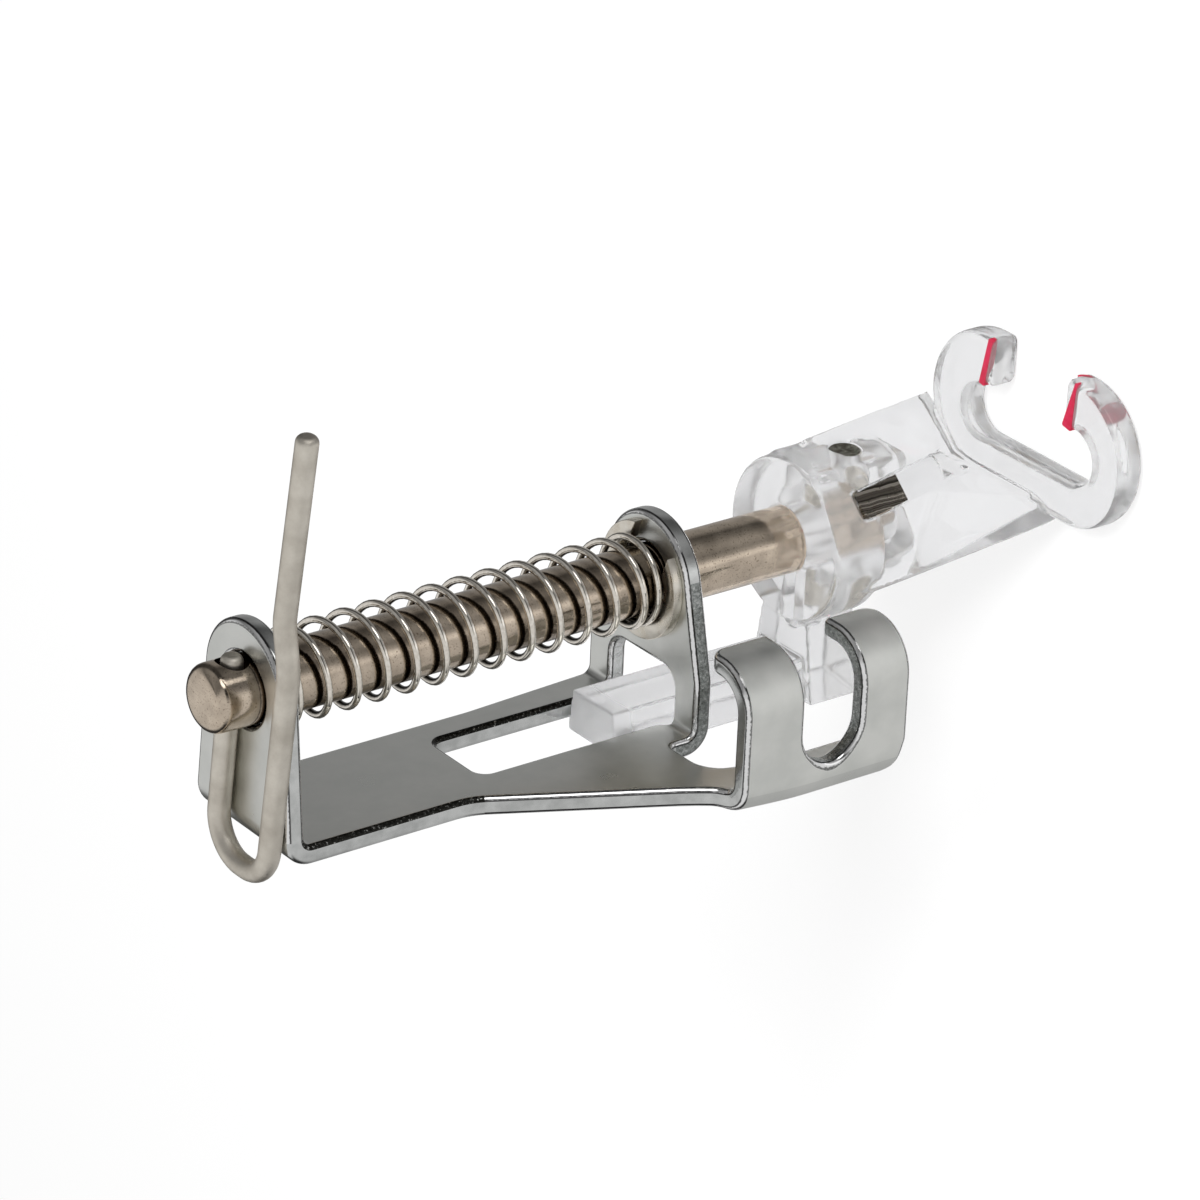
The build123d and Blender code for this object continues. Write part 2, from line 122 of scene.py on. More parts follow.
def roundedLoop(corners, steps=8, closed=True):
    # corners are (x, y) or (x, y, radius)
    loop = []
    count = len(corners)
    for i, corner in enumerate(corners):
        here = Vector(corner[:2])
        radius = corner[2] if len(corner) > 2 else 0
        if radius <= 0 or (not closed and i in (0, count - 1)):
            loop.append(here)
            continue
        toBefore = (Vector(corners[i - 1][:2]) - here).normalized()
        toAfter = (Vector(corners[(i + 1) % count][:2]) - here).normalized()
        half = toBefore.angle(toAfter) / 2
        reach = radius / math.tan(half)
        centre = here + (toBefore + toAfter).normalized() * (radius / math.sin(half))
        start = here + toBefore * reach - centre
        end = here + toAfter * reach - centre
        turn = start.angle_signed(end)
        loop += [centre + Matrix.Rotation(-turn * k / steps, 2) @ start for k in range(steps + 1)]
    return loop


def arc(centre, radius, start, end, steps=40):
    # angles in degrees
    turns = [math.radians(start + (end - start) * k / steps) for k in range(steps + 1)]
    x, y = centre
    return [Vector((x + radius * math.cos(a), y + radius * math.sin(a))) for a in turns]


def blankFromLoops(name, loops, thickness, edge, edgeSteps=3):
    # flat blank between height 0 and its thickness, with rounded edges
    outline = bpy.data.curves.new(name, "CURVE")
    outline.dimensions = "2D"
    outline.fill_mode = "BOTH"
    for loop in loops:
        line = outline.splines.new("POLY")
        line.points.add(len(loop) - 1)
        for point, place in zip(line.points, loop):
            point.co = (place[0], place[1], 0, 1)
        line.use_cyclic_u = True
    outline.extrude = thickness / 2 - edge
    outline.bevel_depth = edge
    outline.bevel_resolution = edgeSteps
    outline.offset = -edge
    carrier = bpy.data.objects.new(name, outline)
    bpy.context.scene.collection.objects.link(carrier)
    bpy.context.view_layer.update()
    graph = bpy.context.evaluated_depsgraph_get()
    mesh = bpy.data.meshes.new_from_object(carrier.evaluated_get(graph))
    bpy.data.objects.remove(carrier)
    bm = bmesh.new()
    bm.from_mesh(mesh)
    bpy.data.meshes.remove(mesh)
    bmesh.ops.remove_doubles(bm, verts=bm.verts, dist=0.001)
    bmesh.ops.translate(bm, verts=bm.verts, vec=(0, 0, thickness / 2))
    bmesh.ops.recalc_face_normals(bm, faces=bm.faces)
    return bm


def turned(profile, steps=128):
    # profile is (radius, up) from the top middle to the bottom middle, round the shaft's axis
    bm = bmesh.new()
    rings = []
    for radius, up in profile:
        count = 1 if radius < 1e-6 else steps
        turns = [2 * pi * k / steps for k in range(count)]
        places = [at(radius * math.cos(a), radius * math.sin(a), up) for a in turns]
        rings.append([bm.verts.new(place) for place in places])
    for high, low in zip(rings, rings[1:]):
        for k in range(steps):
            n = (k + 1) % steps
            corners = [high[k % len(high)], high[n % len(high)], low[n % len(low)], low[k % len(low)]]
            corners = list(dict.fromkeys(corners))
            if len(corners) > 2:
                bm.faces.new(corners)
    bmesh.ops.recalc_face_normals(bm, faces=bm.faces)
    return bm


def roundedProfile(corners, steps=6):
    # corners are (radius, up, rounding), first and last on the axis
    return [tuple(p) for p in roundedLoop(corners, steps=steps, closed=False)]


def wireAlong(path, radius, around=20, tipRound=0.0):
    # round wire along a list of points
    bm = bmesh.new()
    last = len(path) - 1
    across = (path[1] - path[0]).orthogonal().normalized()
    stations = []
    for i, point in enumerate(path):
        ahead = (path[min(i + 1, last)] - path[max(i - 1, 0)]).normalized()
        across = (across - ahead * across.dot(ahead)).normalized()
        stations.append((point, ahead, across.copy(), radius))
    if tipRound:
        # both ends close in over a few more rings
        tips = [math.radians(90 * k / 6) for k in range(1, 7)]
        drop = [(math.sin(a) * tipRound, radius - (1 - math.cos(a)) * tipRound) for a in tips]
        caps = []
        for end, way in ((0, -1), (-1, 1)):
            place, ahead, side, size = stations[end]
            place = place - ahead * way * tipRound
            stations[end] = (place, ahead, side, size)
            caps.append([(place + ahead * way * out, ahead, side, small) for out, small in drop])
        stations = caps[0][::-1] + stations + caps[1]
    rings = []
    turns = [2 * pi * k / around for k in range(around)]
    for place, ahead, side, size in stations:
        up = ahead.cross(side)
        spokes = [side * math.cos(a) + up * math.sin(a) for a in turns]
        rings.append([bm.verts.new(place + spoke * size) for spoke in spokes])
    for one, two in zip(rings, rings[1:]):
        for k in range(around):
            n = (k + 1) % around
            bm.faces.new((one[k], one[n], two[n], two[k]))
    bm.faces.new(rings[0])
    bm.faces.new(rings[-1])
    bmesh.ops.recalc_face_normals(bm, faces=bm.faces)
    return bm


def prism(corners, low, high):
    # upright block over an outline of (side, front) corners
    bm = bmesh.new()
    floorRing = [bm.verts.new(at(c[0], c[1], low)) for c in corners]
    roofRing = [bm.verts.new(at(c[0], c[1], high)) for c in corners]
    bm.faces.new(floorRing)
    bm.faces.new(roofRing)
    for k in range(len(corners)):
        n = (k + 1) % len(corners)
        bm.faces.new((floorRing[k], floorRing[n], roofRing[n], roofRing[k]))
    bmesh.ops.recalc_face_normals(bm, faces=bm.faces)
    return bm


def combine(base, others, operation):
    for other in others:
        step = base.modifiers.new(operation, "BOOLEAN")
        step.operation = operation
        step.solver = "EXACT"
        step.object = other
        applyModifiers(base)
    for other in others:
        bpy.data.objects.remove(other)


# shader tools shared by the finishes

def newFinish(name):
    finish = bpy.data.materials.new(name)
    finish.use_nodes = True
    return finish, finish.node_tree


def addNode(tree, kind, inputs=(), **settings):
    node = tree.nodes.new(kind)
    for key, value in settings.items():
        setattr(node, key, value)
    for key, value in dict(inputs).items():
        if isinstance(value, bpy.types.NodeSocket):
            tree.links.new(value, node.inputs[key])
        else:
            node.inputs[key].default_value = value
    return node


def wear(finish, colour, roughness, normal, metallic=1.0):
    tree = finish.node_tree
    inputs = tree.nodes["Principled BSDF"].inputs
    inputs["Metallic"].default_value = metallic
    for socket, value in (("Base Color", colour), ("Roughness", roughness), ("Normal", normal)):
        tree.links.new(value, inputs[socket])
    return finish


def objectPlace(tree, stretch=(1, 1, 1)):
    place = addNode(tree, "ShaderNodeTexCoord").outputs["Object"]
    return addNode(tree, "ShaderNodeMapping", {"Vector": place, "Scale": stretch}).outputs["Vector"]


def heightOf(tree, place):
    return addNode(tree, "ShaderNodeSeparateXYZ", {"Vector": place}).outputs["Z"]


def grain(tree, place, size, detail=3.0, roughness=0.5):
    # size is that of one blotch, in mm
    inputs = {"Vector": place, "Scale": 1 / (size * mm), "Detail": detail, "Roughness": roughness}
    return addNode(tree, "ShaderNodeTexNoise", inputs).outputs["Fac"]


def spread(tree, value, low, high, fromLow=0.3, fromHigh=0.7):
    inputs = {"Value": value, "From Min": fromLow, "From Max": fromHigh, "To Min": low, "To Max": high}
    return addNode(tree, "ShaderNodeMapRange", inputs).outputs["Result"]


def plus(tree, one, other):
    return addNode(tree, "ShaderNodeMath", {0: one, 1: other}, operation="ADD").outputs[0]


def tint(tree, value, stops):
    ramp = addNode(tree, "ShaderNodeValToRGB", {"Fac": value})
    while len(ramp.color_ramp.elements) < len(stops):
        ramp.color_ramp.elements.new(0.5)
    for element, (place, colour) in zip(ramp.color_ramp.elements, stops):
        element.position = place
        element.color = (*colour, 1)
    return ramp.outputs["Color"]


def blend(tree, share, one, other, kind="MIX"):
    inputs = {0: share, 6: one, 7: other}
    mixed = addNode(tree, "ShaderNodeMix", inputs, data_type="RGBA", blend_type=kind)
    return mixed.outputs[2]


def openness(tree, reach):
    # near 0 where another surface stands closer than the reach, in mm
    near = addNode(tree, "ShaderNodeAmbientOcclusion", {"Distance": reach * mm}, samples=8)
    return near.outputs["AO"]


def relief(tree, height, strength, depth, normal=None):
    inputs = {"Height": height, "Strength": strength, "Distance": depth * mm}
    if normal is not None:
        inputs["Normal"] = normal
    return addNode(tree, "ShaderNodeBump", inputs).outputs["Normal"]


# finishes: clouds tone the colour, fine grain lies over them
# clouds and fine are (size, detail, roughness), waves and pits (strength, depth) of their relief
white = (1, 1, 1)
chromeSettings = {
    "clouds": (2.4, 4),
    "fine": (0.16, 2),
    "tones": ((0.35, (0.71, 0.72, 0.69)), (0.65, (0.81, 0.815, 0.785))),
    "gloss": (0.27, 0.36),
    "waves": (0.08, 0.05),
    "pits": (0.12, 0.008),
}
tornSettings = {
    "clouds": (0.18, 4, 0.6),
    "fine": (0.07, 2),
    "tones": ((0.34, (0.2, 0.21, 0.2)), (0.52, (0.36, 0.38, 0.37)), (0.68, (0.66, 0.67, 0.66))),
    "gloss": (0.22, 0.4),
    "glossBy": "fine",
    "waves": (0.4, 0.06),
    "pits": (0.25, 0.02),
}
# near-black cut sides: painted shadow along the window's far rim and the strip's side above the leg
shadowEdgeTones = ((0.34, (0.012, 0.012, 0.01)), (0.6, (0.04, 0.04, 0.036)), (0.69, (0.6, 0.6, 0.58)))
finishSettings = {
    "chromeFace": chromeSettings,
    # the fork is matte, and painted a little lighter, a lit copy of the face's chrome
    "chromeFork": {**chromeSettings, "gloss": (0.42, 0.54), "lift": 1.15},
    # the blank's cut sides, smooth from the die, with a few drawn lines
    "shearedEdge": {
        "clouds": (1.1, 4),
        "fine": (0.12, 2),
        "tones": ((0.34, (0.56, 0.57, 0.56)), (0.66, (0.76, 0.77, 0.76))),
        "gloss": (0.10, 0.18),
        "pits": (0.22, 0.01),
    },
    # cut sides that broke away in the die: pits that catch the light
    "tornEdge": tornSettings,
    "paintedShadowEdge": {**tornSettings, "tones": shadowEdgeTones},
    # spring wire, bright, with faint drawing marks, and painted shade on the side towards the shaft
    "polishedWire": {
        "clouds": (0.2, 3),
        "tones": ((0.35, (0.86, 0.80, 0.71)), (0.65, (1.0, 0.95, 0.87))),
        "shadeReach": 0.9,
        "shade": ((0.5, (0.06, 0.054, 0.046)), (0.86, white)),
        "gloss": (0.02, 0.06),
        "waves": (0.08, 0.01),
    },
    "clipPlate": {
        "clouds": (0.9, 4),
        "fine": (0.08, 2),
        "tones": ((0.34, (0.76, 0.70, 0.60)), (0.64, (0.95, 0.90, 0.81))),
        "gloss": (0.22, 0.36),
        "pits": (0.2, 0.008),
    },
    # lift wire: matte warm grey, rubbed brighter in places
    "satinWire": {
        "clouds": (1.6, 4),
        "fine": (0.12, 3, 0.6),
        "tones": ((0.32, (0.68, 0.63, 0.55)), (0.68, (0.90, 0.85, 0.76))),
        "gloss": (0.42, 0.56),
        "glossBy": "fine",
        "pits": (0.3, 0.012),
    },
    # raw ends of the cut pin: dark olive, mottled
    "pinSteel": {
        "clouds": (0.35, 4, 0.6),
        "tones": (
            (0.34, (0.05, 0.047, 0.035)),
            (0.52, (0.13, 0.125, 0.10)),
            (0.68, (0.30, 0.29, 0.25)),
        ),
        "gloss": (0.5, 0.3),
        "waves": (0.5, 0.06),
        "metallic": 0.7,
    },
    "redPaint": {
        "clouds": (0.5, 3),
        "tones": ((0.35, (0.40, 0.006, 0.034)), (0.65, (0.50, 0.014, 0.06))),
        "gloss": (0.28, 0.42),
        "waves": (0.2, 0.03),
        "metallic": 0.0,
    },
}


def cloudedFinish(name):
    s = finishSettings[name]
    finish, tree = newFinish(name)
    place = objectPlace(tree)
    grains = {key: grain(tree, place, *s[key]) for key in ("clouds", "fine") if key in s}
    # painted light: a finish can be a lighter copy of another, as on the fork
    lift = s.get("lift", 1.0)
    tones = [(share, [tone * lift for tone in colour]) for share, colour in s["tones"]]
    colour = tint(tree, grains["clouds"], tones)
    # painted shade where another surface stands close
    if "shade" in s:
        shade = tint(tree, openness(tree, s["shadeReach"]), s["shade"])
        colour = blend(tree, 1.0, colour, shade, "MULTIPLY")
    rough = spread(tree, grains[s.get("glossBy", "clouds")], *s["gloss"])
    normal = relief(tree, grains["clouds"], *s["waves"]) if "waves" in s else None
    if "pits" in s:
        normal = relief(tree, grains["fine"], *s["pits"], normal)
    return wear(finish, colour, rough, normal, s.get("metallic", 1.0))


rimSettings = {
    "clouds": (0.8, 3),
    "crumbs": (0.2, 3, 0.6),
    "ragged": 0.06,
    # from the cut side to the face: painted highlight and dark reflection bands
    "tones": (
        (0.05, (0.74, 0.75, 0.74)),
        (0.22, (0.10, 0.10, 0.10)),
        (0.42, (0.12, 0.12, 0.12)),
        (0.50, (0.98, 0.98, 0.98)),
        (0.84, (0.98, 0.98, 0.98)),
        (0.93, (0.16, 0.16, 0.155)),
        (1.00, (0.5, 0.505, 0.5)),
    ),
    "gloss": (0.04, 0.10),
    "waves": (0.25, 0.04),
}


def chromeRimHighlights():
    # the rounded edges, bright as a mirror, with painted highlight and dark reflection bands across
    # them
    s = rimSettings
    finish, tree = newFinish("chromeRimHighlights")
    place = objectPlace(tree)
    clouds = grain(tree, place, *s["clouds"])
    crumbs = grain(tree, place, *s["crumbs"])
    across = addNode(tree, "ShaderNodeAttribute", attribute_name="acrossRim").outputs["Fac"]
    ragged = plus(tree, spread(tree, crumbs, -s["ragged"], s["ragged"]), across)
    colour = tint(tree, ragged, s["tones"])
    rough = spread(tree, clouds, *s["gloss"])
    return wear(finish, colour, rough, relief(tree, clouds, *s["waves"]))


nickelSettings = {
    "clouds": (1.3, 4),
    "tones": ((0.34, (0.56, 0.47, 0.375)), (0.66, (0.78, 0.66, 0.53))),
    "specks": (0.11, 2, 0.6),
    "dots": ((0.30, (0.45, 0.42, 0.38)), (0.40, white)),
    "lines": (0.12, 2),
    "stretch": (1, 1, 0.08),
    "shadeReach": 1.1,
    "shade": ((0.42, (0.13, 0.107, 0.082)), (0.9, white)),
    "shadeFrom": (1.5, 3.5),      # heights between which that shade sets in
    "gloss": (0.08, 0.15),
    "grooves": (0.12, 0.01),
    "pits": (0.25, 0.012),
}


def nickelBar():
    # warm nickel over a drawn bar: fine lines along it, specks, and painted shade near the spring's
    # coils, standing in for their shadows and dark reflections
    s = nickelSettings
    finish, tree = newFinish("nickelBar")
    place = objectPlace(tree)
    clouds = grain(tree, place, *s["clouds"])
    lines = grain(tree, objectPlace(tree, s["stretch"]), *s["lines"])
    specks = grain(tree, place, *s["specks"])
    # painted shade: dark where the coils stand close, none below the spring
    start, end = s["shadeFrom"]
    bare = spread(tree, heightOf(tree, place), 0.8, 0, start * mm, end * mm)
    clear = plus(tree, openness(tree, s["shadeReach"]), bare)
    colour = tint(tree, clouds, s["tones"])
    for layer in (tint(tree, specks, s["dots"]), tint(tree, clear, s["shade"])):
        colour = blend(tree, 1.0, colour, layer, "MULTIPLY")
    rough = spread(tree, clouds, *s["gloss"])
    grooves = relief(tree, lines, *s["grooves"])
    return wear(finish, colour, rough, relief(tree, specks, *s["pits"], grooves))


clearSettings = {
    "colour": (0.985, 0.987, 0.99, 1),
    "transmission": 0.9,
    "ior": 1.46,
    "flow": (3.2, 2),
    "stretch": (1, 1, 0.5),
    "fine": (0.3, 3),
    "gloss": (0.0, 0.03),
    # roughness added between two heights
    "haze": (0.15, -14.5, -13.0),
    "tipFrost": (0.2, 5.2, 7.0),
    "waves": (0.10, 0.08),
    "pits": (0.04, 0.01),
}


def clearMoulding():
    # clear plastic with faint flow waves, hazy above the leg's foot, frosted at the guide bar's tip
    s = clearSettings
    finish, tree = newFinish("clearMoulding")
    flow = grain(tree, objectPlace(tree, s["stretch"]), *s["flow"])
    fine = grain(tree, objectPlace(tree), *s["fine"])
    rough = spread(tree, flow, *s["gloss"])
    up = heightOf(tree, objectPlace(tree))
    hazes = [
        spread(tree, up, 0, amount, start * mm, end * mm)
        for amount, start, end in (s["haze"], s["tipFrost"])
    ]
    rough = plus(tree, rough, plus(tree, *hazes))
    inputs = tree.nodes["Principled BSDF"].inputs
    inputs["Base Color"].default_value = s["colour"]
    inputs["Transmission Weight"].default_value = s["transmission"]
    inputs["IOR"].default_value = s["ior"]
    tree.links.new(rough, inputs["Roughness"])
    waves = relief(tree, flow, *s["waves"])
    tree.links.new(relief(tree, fine, *s["pits"], waves), inputs["Normal"])
    return finish


groundSettings = {
    "across": (-0.607, 0.795, 0),     # the way that the grinding lines follow one another
    "patches": (0.9, 3),
    "wander": 0.08,
    "lineSize": 0.2,
    "tones": ((0.36, (0.03, 0.026, 0.02)), (0.5, (0.13, 0.115, 0.095)), (0.66, (0.5, 0.46, 0.4))),
    "gloss": (0.2, 0.4),
    "waves": (0.5, 0.04),
    "metallic": 0.85,
}


def groundSteel():
    # coarse grinding lines, dark between them
    s = groundSettings
    finish, tree = newFinish("groundSteel")
    place = objectPlace(tree)
    along = {0: place, 1: s["across"]}
    across = addNode(tree, "ShaderNodeVectorMath", along, operation="DOT_PRODUCT").outputs["Value"]
    patches = grain(tree, place, *s["patches"])
    wander = plus(tree, spread(tree, patches, 0, s["wander"] * mm), across)
    stripes = {"W": wander, "Scale": 1 / (s["lineSize"] * mm), "Detail": 3, "Roughness": 0.6}
    lines = addNode(tree, "ShaderNodeTexNoise", stripes, noise_dimensions="1D").outputs["Fac"]
    colour = tint(tree, lines, s["tones"])
    rough = spread(tree, patches, *s["gloss"])
    return wear(finish, colour, rough, relief(tree, lines, *s["waves"]), s["metallic"])


finishes = {name: cloudedFinish(name) for name in finishSettings}
for finish in (chromeRimHighlights(), nickelBar(), clearMoulding(), groundSteel()):
    finishes[finish.name] = finish
print("finishes ready:", len(finishes))


# bracket: laid out flat as one blank, then folded
# u runs from the shaft's line to the fork, v up the strip, w through the sheet
bracketSettings = {
    "edge": 0.35,
    "edgeSteps": 7,
    "bendStep": 8.0,          # degrees between two fold lines
    "earRound": 3.9,
    "earHeadLift": 0.1,
    "topEarHalf": 4.6,
    "lowEarHalf": 5.15,
    "lowEarSide": 6.5,        # no part of the lower ear lies further out
    "bore": 2.08,
    "slotRadius": 2.05,
    "slotShift": 0.5,         # its end, towards the front
    "bow": 0.45,              # how far the leg leans back at the fork
    "bowAcross": (8.0, 11.5),
    "bowAlong": (9.0, 1.0),
    "bowDeep": (-6.6, -8.2),
    "bowSteps": 10,
    "earBend": 0.5,
    "forkBend": 0.6,
    "tabBend": 1.7,
    "stripBack": 8.0,
    "tabTop": -0.4,
    "tipSide": 8.8,
    "prongTop": 6.15,
    "prongBottom": -5.45,
    "prongEdge": 1.0,
    "slotEdge": 0.3,
    "earFoot": 2.8,           # where the lower ear's straight sides begin
    # corners of the flat blank, as (u, v, rounding)
    "legTop": ((4.6, 18.9, 4.0), (11.0, 6.15, 1.2)),
    "legBottom": (
        (13.1, -5.45, 0.8),
        (11.94, -4.85, 0.5),
        (11.0, -3.9, 0.5),
        (9.3, -3.5, 0.4),
        (9.3, 2.2, 2.0),
        (8.55, 5.6, 1.6),
        (5.15, 5.6, 0.45),
    ),
    "farSide": ((-5.15, 3.9), (-4.6, 12.9)),
    "window": ((2.45, 16.8, 0.8), (2.45, 4.6, 0.3), (3.0, 3.6, 0.3)),
    "windowFoot": (3.0, 1.2),
}

# where each finish lies on the blank
bracketLooks = {
    "slots": ("chromeFace", "chromeRimHighlights", "shearedEdge", "tornEdge", "chromeFork", "paintedShadowEdge"),
    "faceTilt": 0.97,         # flatter than this is a face of the sheet
    "cutTilt": 0.12,          # steeper than this is a cut side
    # where the cut sides are painted near black as shadow: at the window, and along the strip above
    # the leg
    "paintedShadowEdge": (-3.2, -2.1, 17.3),     # from u, to u, and to v
    "stripShadowEdge": (3.4, 18.2),             # from u and from v
    "tornEar": (2.5, 6.5, 0.5),           # from u, to u, and how far past the bore
    "tornSlot": 2.4,
    "forkStart": 0.3,         # how far before the end of its bend the fork turns matte
}


def bracketFolds():
    # where each fold starts and ends on the flat blank
    s = bracketSettings
    half = layout["sheet"] / 2
    folds = {}
    start = layout["topEarBottom"] - s["earBend"]
    folds["topEar"] = (start, start + (s["earBend"] + half) * pi / 2)
    start = layout["lowEarTop"] + s["earBend"]
    folds["lowEar"] = (start - (s["earBend"] + half) * pi / 2, start)
    start = layout["shaftX"] - layout["sheet"] - s["forkBend"]
    folds["fork"] = (start, start + (s["forkBend"] + half) * pi / 2)
    flat = s["stripBack"] - s["forkBend"] + (s["tabTop"] - layout["sheet"] - s["tabBend"])
    start = folds["fork"][1] + flat
    folds["tab"] = (start, start + (s["tabBend"] + half) * pi / 2)
    return folds


def foldSheet(bm, folds):
    s = bracketSettings
    back = s["stripBack"]
    topEar, lowEar, fork, tab = (folds[name] for name in ("topEar", "lowEar", "fork", "tab"))

    def bend(run, radius):
        # angle round a fold, at a run from its start
        return min(run / (radius + layout["sheet"] / 2), pi / 2)

    for vert in bm.verts:
        u, v, w = vert.co
        side, front, up = u, -back - w, v
        if v > topEar[0]:
            r, a = s["earBend"] + w, bend(v - topEar[0], s["earBend"])
            front = -back + s["earBend"] - r * math.cos(a) + max(v - topEar[1], 0)
            up = topEar[0] + r * math.sin(a)
        elif u < s["lowEarSide"] and v < lowEar[1]:
            r, a = s["earBend"] + w, bend(lowEar[1] - v, s["earBend"])
            front = -back + s["earBend"] - r * math.cos(a) + max(lowEar[0] - v, 0)
            up = lowEar[1] - r * math.sin(a)
        elif u > fork[0]:
            r, a = s["forkBend"] + w, bend(u - fork[0], s["forkBend"])
            past = max(min(u, tab[0]) - fork[1], 0)
            side = fork[0] + r * math.sin(a)
            front = -back + s["forkBend"] - r * math.cos(a) + past
            if u > tab[0]:
                r, a = s["tabBend"] + w, bend(u - tab[0], s["tabBend"])
                inside = layout["shaftX"] - layout["sheet"] - s["tabBend"]
                side = inside + r * math.cos(a) - max(u - tab[1], 0)
                front = s["tabTop"] - layout["sheet"] - s["tabBend"] + r * math.sin(a)
        lean = ease(u, *s["bowAcross"]) * ease(v, *s["bowAlong"]) * ease(front, *s["bowDeep"])
        vert.co = at(side, front - s["bow"] * lean, up)


def tangentTurn(centre, radius, corner, way):
    # direction from the centre to where a line from the corner touches the circle
    away = Vector(corner) - Vector(centre)
    return math.degrees(math.atan2(away.y, away.x) + way * math.acos(radius / away.length))


def bracketLoops(folds):
    s = bracketSettings
    radius = s["earRound"]
    slotHalf, edge = s["slotRadius"], s["prongEdge"]
    toShaft = s["stripBack"] - s["earBend"]
    topBore = folds["topEar"][1] + toShaft
    lowBore = folds["lowEar"][0] - toShaft
    topHead = (0, topBore + s["earHeadLift"])
    lowHead = (0, lowBore - s["earHeadLift"])
    topRoot = (s["topEarHalf"], folds["topEar"][1])
    lowRoot = (s["lowEarHalf"], folds["lowEar"][0] - s["earFoot"])
    topTurn = tangentTurn(topHead, radius, topRoot, 1)
    lowTurn = tangentTurn(lowHead, radius, lowRoot, -1)
    slotAt = folds["fork"][1] + s["stripBack"] - s["forkBend"] + layout["shaftY"] + s["slotShift"]
    tip = folds["tab"][1] + layout["shaftX"] - layout["sheet"] - s["tabBend"] - s["tipSide"]
    upperProng = [(tip, s["prongTop"], edge), (tip, slotHalf, s["slotEdge"]), (slotAt, slotHalf)]
    lowerProng = [(slotAt, -slotHalf), (tip, -slotHalf, s["slotEdge"]), (tip, s["prongBottom"], edge)]
    outer = roundedLoop([topRoot, *s["legTop"], *upperProng], closed=False)
    outer += arc((slotAt, 0), slotHalf, 90, 270, 32)[1:-1]
    outer += roundedLoop([*lowerProng, *s["legBottom"], lowRoot], closed=False)
    outer += reversed(arc(lowHead, radius, -180 - lowTurn, lowTurn))
    outer += [(-lowRoot[0], lowRoot[1]), *s["farSide"], (-topRoot[0], topRoot[1])]
    outer += reversed(arc(topHead, radius, topTurn, 180 - topTurn))
    footHalf, footEdge = s["windowFoot"]
    right = [*s["window"], (footHalf, lowRoot[1] + 0.05, footEdge)]
    left = [(-u, v, rounding) for u, v, rounding in reversed(right)]
    window = roundedLoop([left[-1], *right, *left[:-1]])
    bores = [arc((0, bore), s["bore"], 0, 360 * 63 / 64, 63) for bore in (topBore, lowBore)]
    return [outer, window, *bores]


def bracketLook(face, folds):
    # the finish that a face of the flat blank wears
    s = bracketLooks
    u, v, w = face.calc_center_median()
    tilt = abs(face.normal.z)
    if tilt > s["faceTilt"]:
        return "chromeFace"
    if tilt > s["cutTilt"]:
        start, end, top = s["paintedShadowEdge"]
        side, low = s["stripShadowEdge"]
        atWindow = start < u < end and layout["lowEarTop"] < v < top
        if not atWindow and not (u > side and low < v < folds["topEar"][0]):
            return "chromeRimHighlights"
        # one side of the sheet there wears the painted shadow
        return "paintedShadowEdge" if w < layout["sheet"] / 2 else "shearedEdge"
    start, end, past = s["tornEar"]
    lowBore = folds["lowEar"][0] - bracketSettings["stripBack"] + bracketSettings["earBend"]
    atEar = start < u < end and lowBore + past < v < folds["lowEar"][0]
    atSlot = u > folds["fork"][1] and abs(v) < s["tornSlot"]
    return "tornEdge" if atEar or atSlot else "shearedEdge"


def scoreLines(bm, direction, start, end, steps):
    # lines across the blank, so that it can bend between them
    along = Vector((1, 0, 0)) if direction == "u" else Vector((0, 1, 0))
    for k in range(steps + 1):
        cut = start + (end - start) * k / steps
        geometry = bm.verts[:] + bm.edges[:] + bm.faces[:]
        bmesh.ops.bisect_plane(bm, geom=geometry, dist=1e-5, plane_co=along * cut, plane_no=along)


def makeBracket():
    s = bracketSettings
    folds = bracketFolds()
    slots = {name: i for i, name in enumerate(bracketLooks["slots"])}
    loops = bracketLoops(folds)
    bm = blankFromLoops("bracketBlank", loops, layout["sheet"], s["edge"], s["edgeSteps"])
    acrossRim = bm.verts.layers.float.new("acrossRim")
    middle = layout["sheet"] / 2
    for vert in bm.verts:
        vert[acrossRim] = max(abs(vert.co.z - middle) - middle + s["edge"], 0) / s["edge"]
    for face in bm.faces:
        face.material_index = slots[bracketLook(face, folds)]
    for name, (start, end) in folds.items():
        scoreLines(bm, "v" if "Ear" in name else "u", start, end, math.ceil(90 / s["bendStep"]))
    scoreLines(bm, "u", *s["bowAcross"], s["bowSteps"])
    scoreLines(bm, "v", *s["bowAlong"], s["bowSteps"])
    forkStart = folds["fork"][1] - bracketLooks["forkStart"]
    for face in bm.faces:
        atFork = face.calc_center_median().x > forkStart
        if atFork and face.material_index == slots["chromeFace"]:
            face.material_index = slots["chromeFork"]
    foldSheet(bm, folds)
    bmesh.ops.recalc_face_normals(bm, faces=bm.faces)
    bracket = toPiece(bm, "foldedBracket")
    for name in slots:
        bracket.data.materials.append(finishes[name])
    smooth(bracket, 50)
    evenNormals(bracket, 60)
    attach(bracket, "bracket")
    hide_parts("bracket")
    return bracket


foldedBracket = makeBracket()
print("bracket folded:", len(foldedBracket.data.polygons), "faces")


wireSettings = {
    "radius": 0.65,
    "height": 31.9,
    "tip": 0.42,
    # bends as (towards the fork, to the front, radius)
    "bends": (
        (0.03, 2.3),
        (-1.4, -10.0, 2.3),
        (3.65, -10.0, 2.3),
        (5.5, 3.4, 3.0),
        (5.0, 6.2, 3.0),
        (6.9, 17.8),
    ),
    "bendSteps": 14,
    "around": 28,
}

shaftSettings = {
    "radius": 2.0,
    "rounding": 0.75,
    "lowEdge": 0.2,
    "groove": 1.6,
    "grooveHeight": 0.62,
    "grooveEdge": 0.05,
    "recess": (1.3, 0.55, 0.98),    # round the lift wire's end: start, step, radius
}


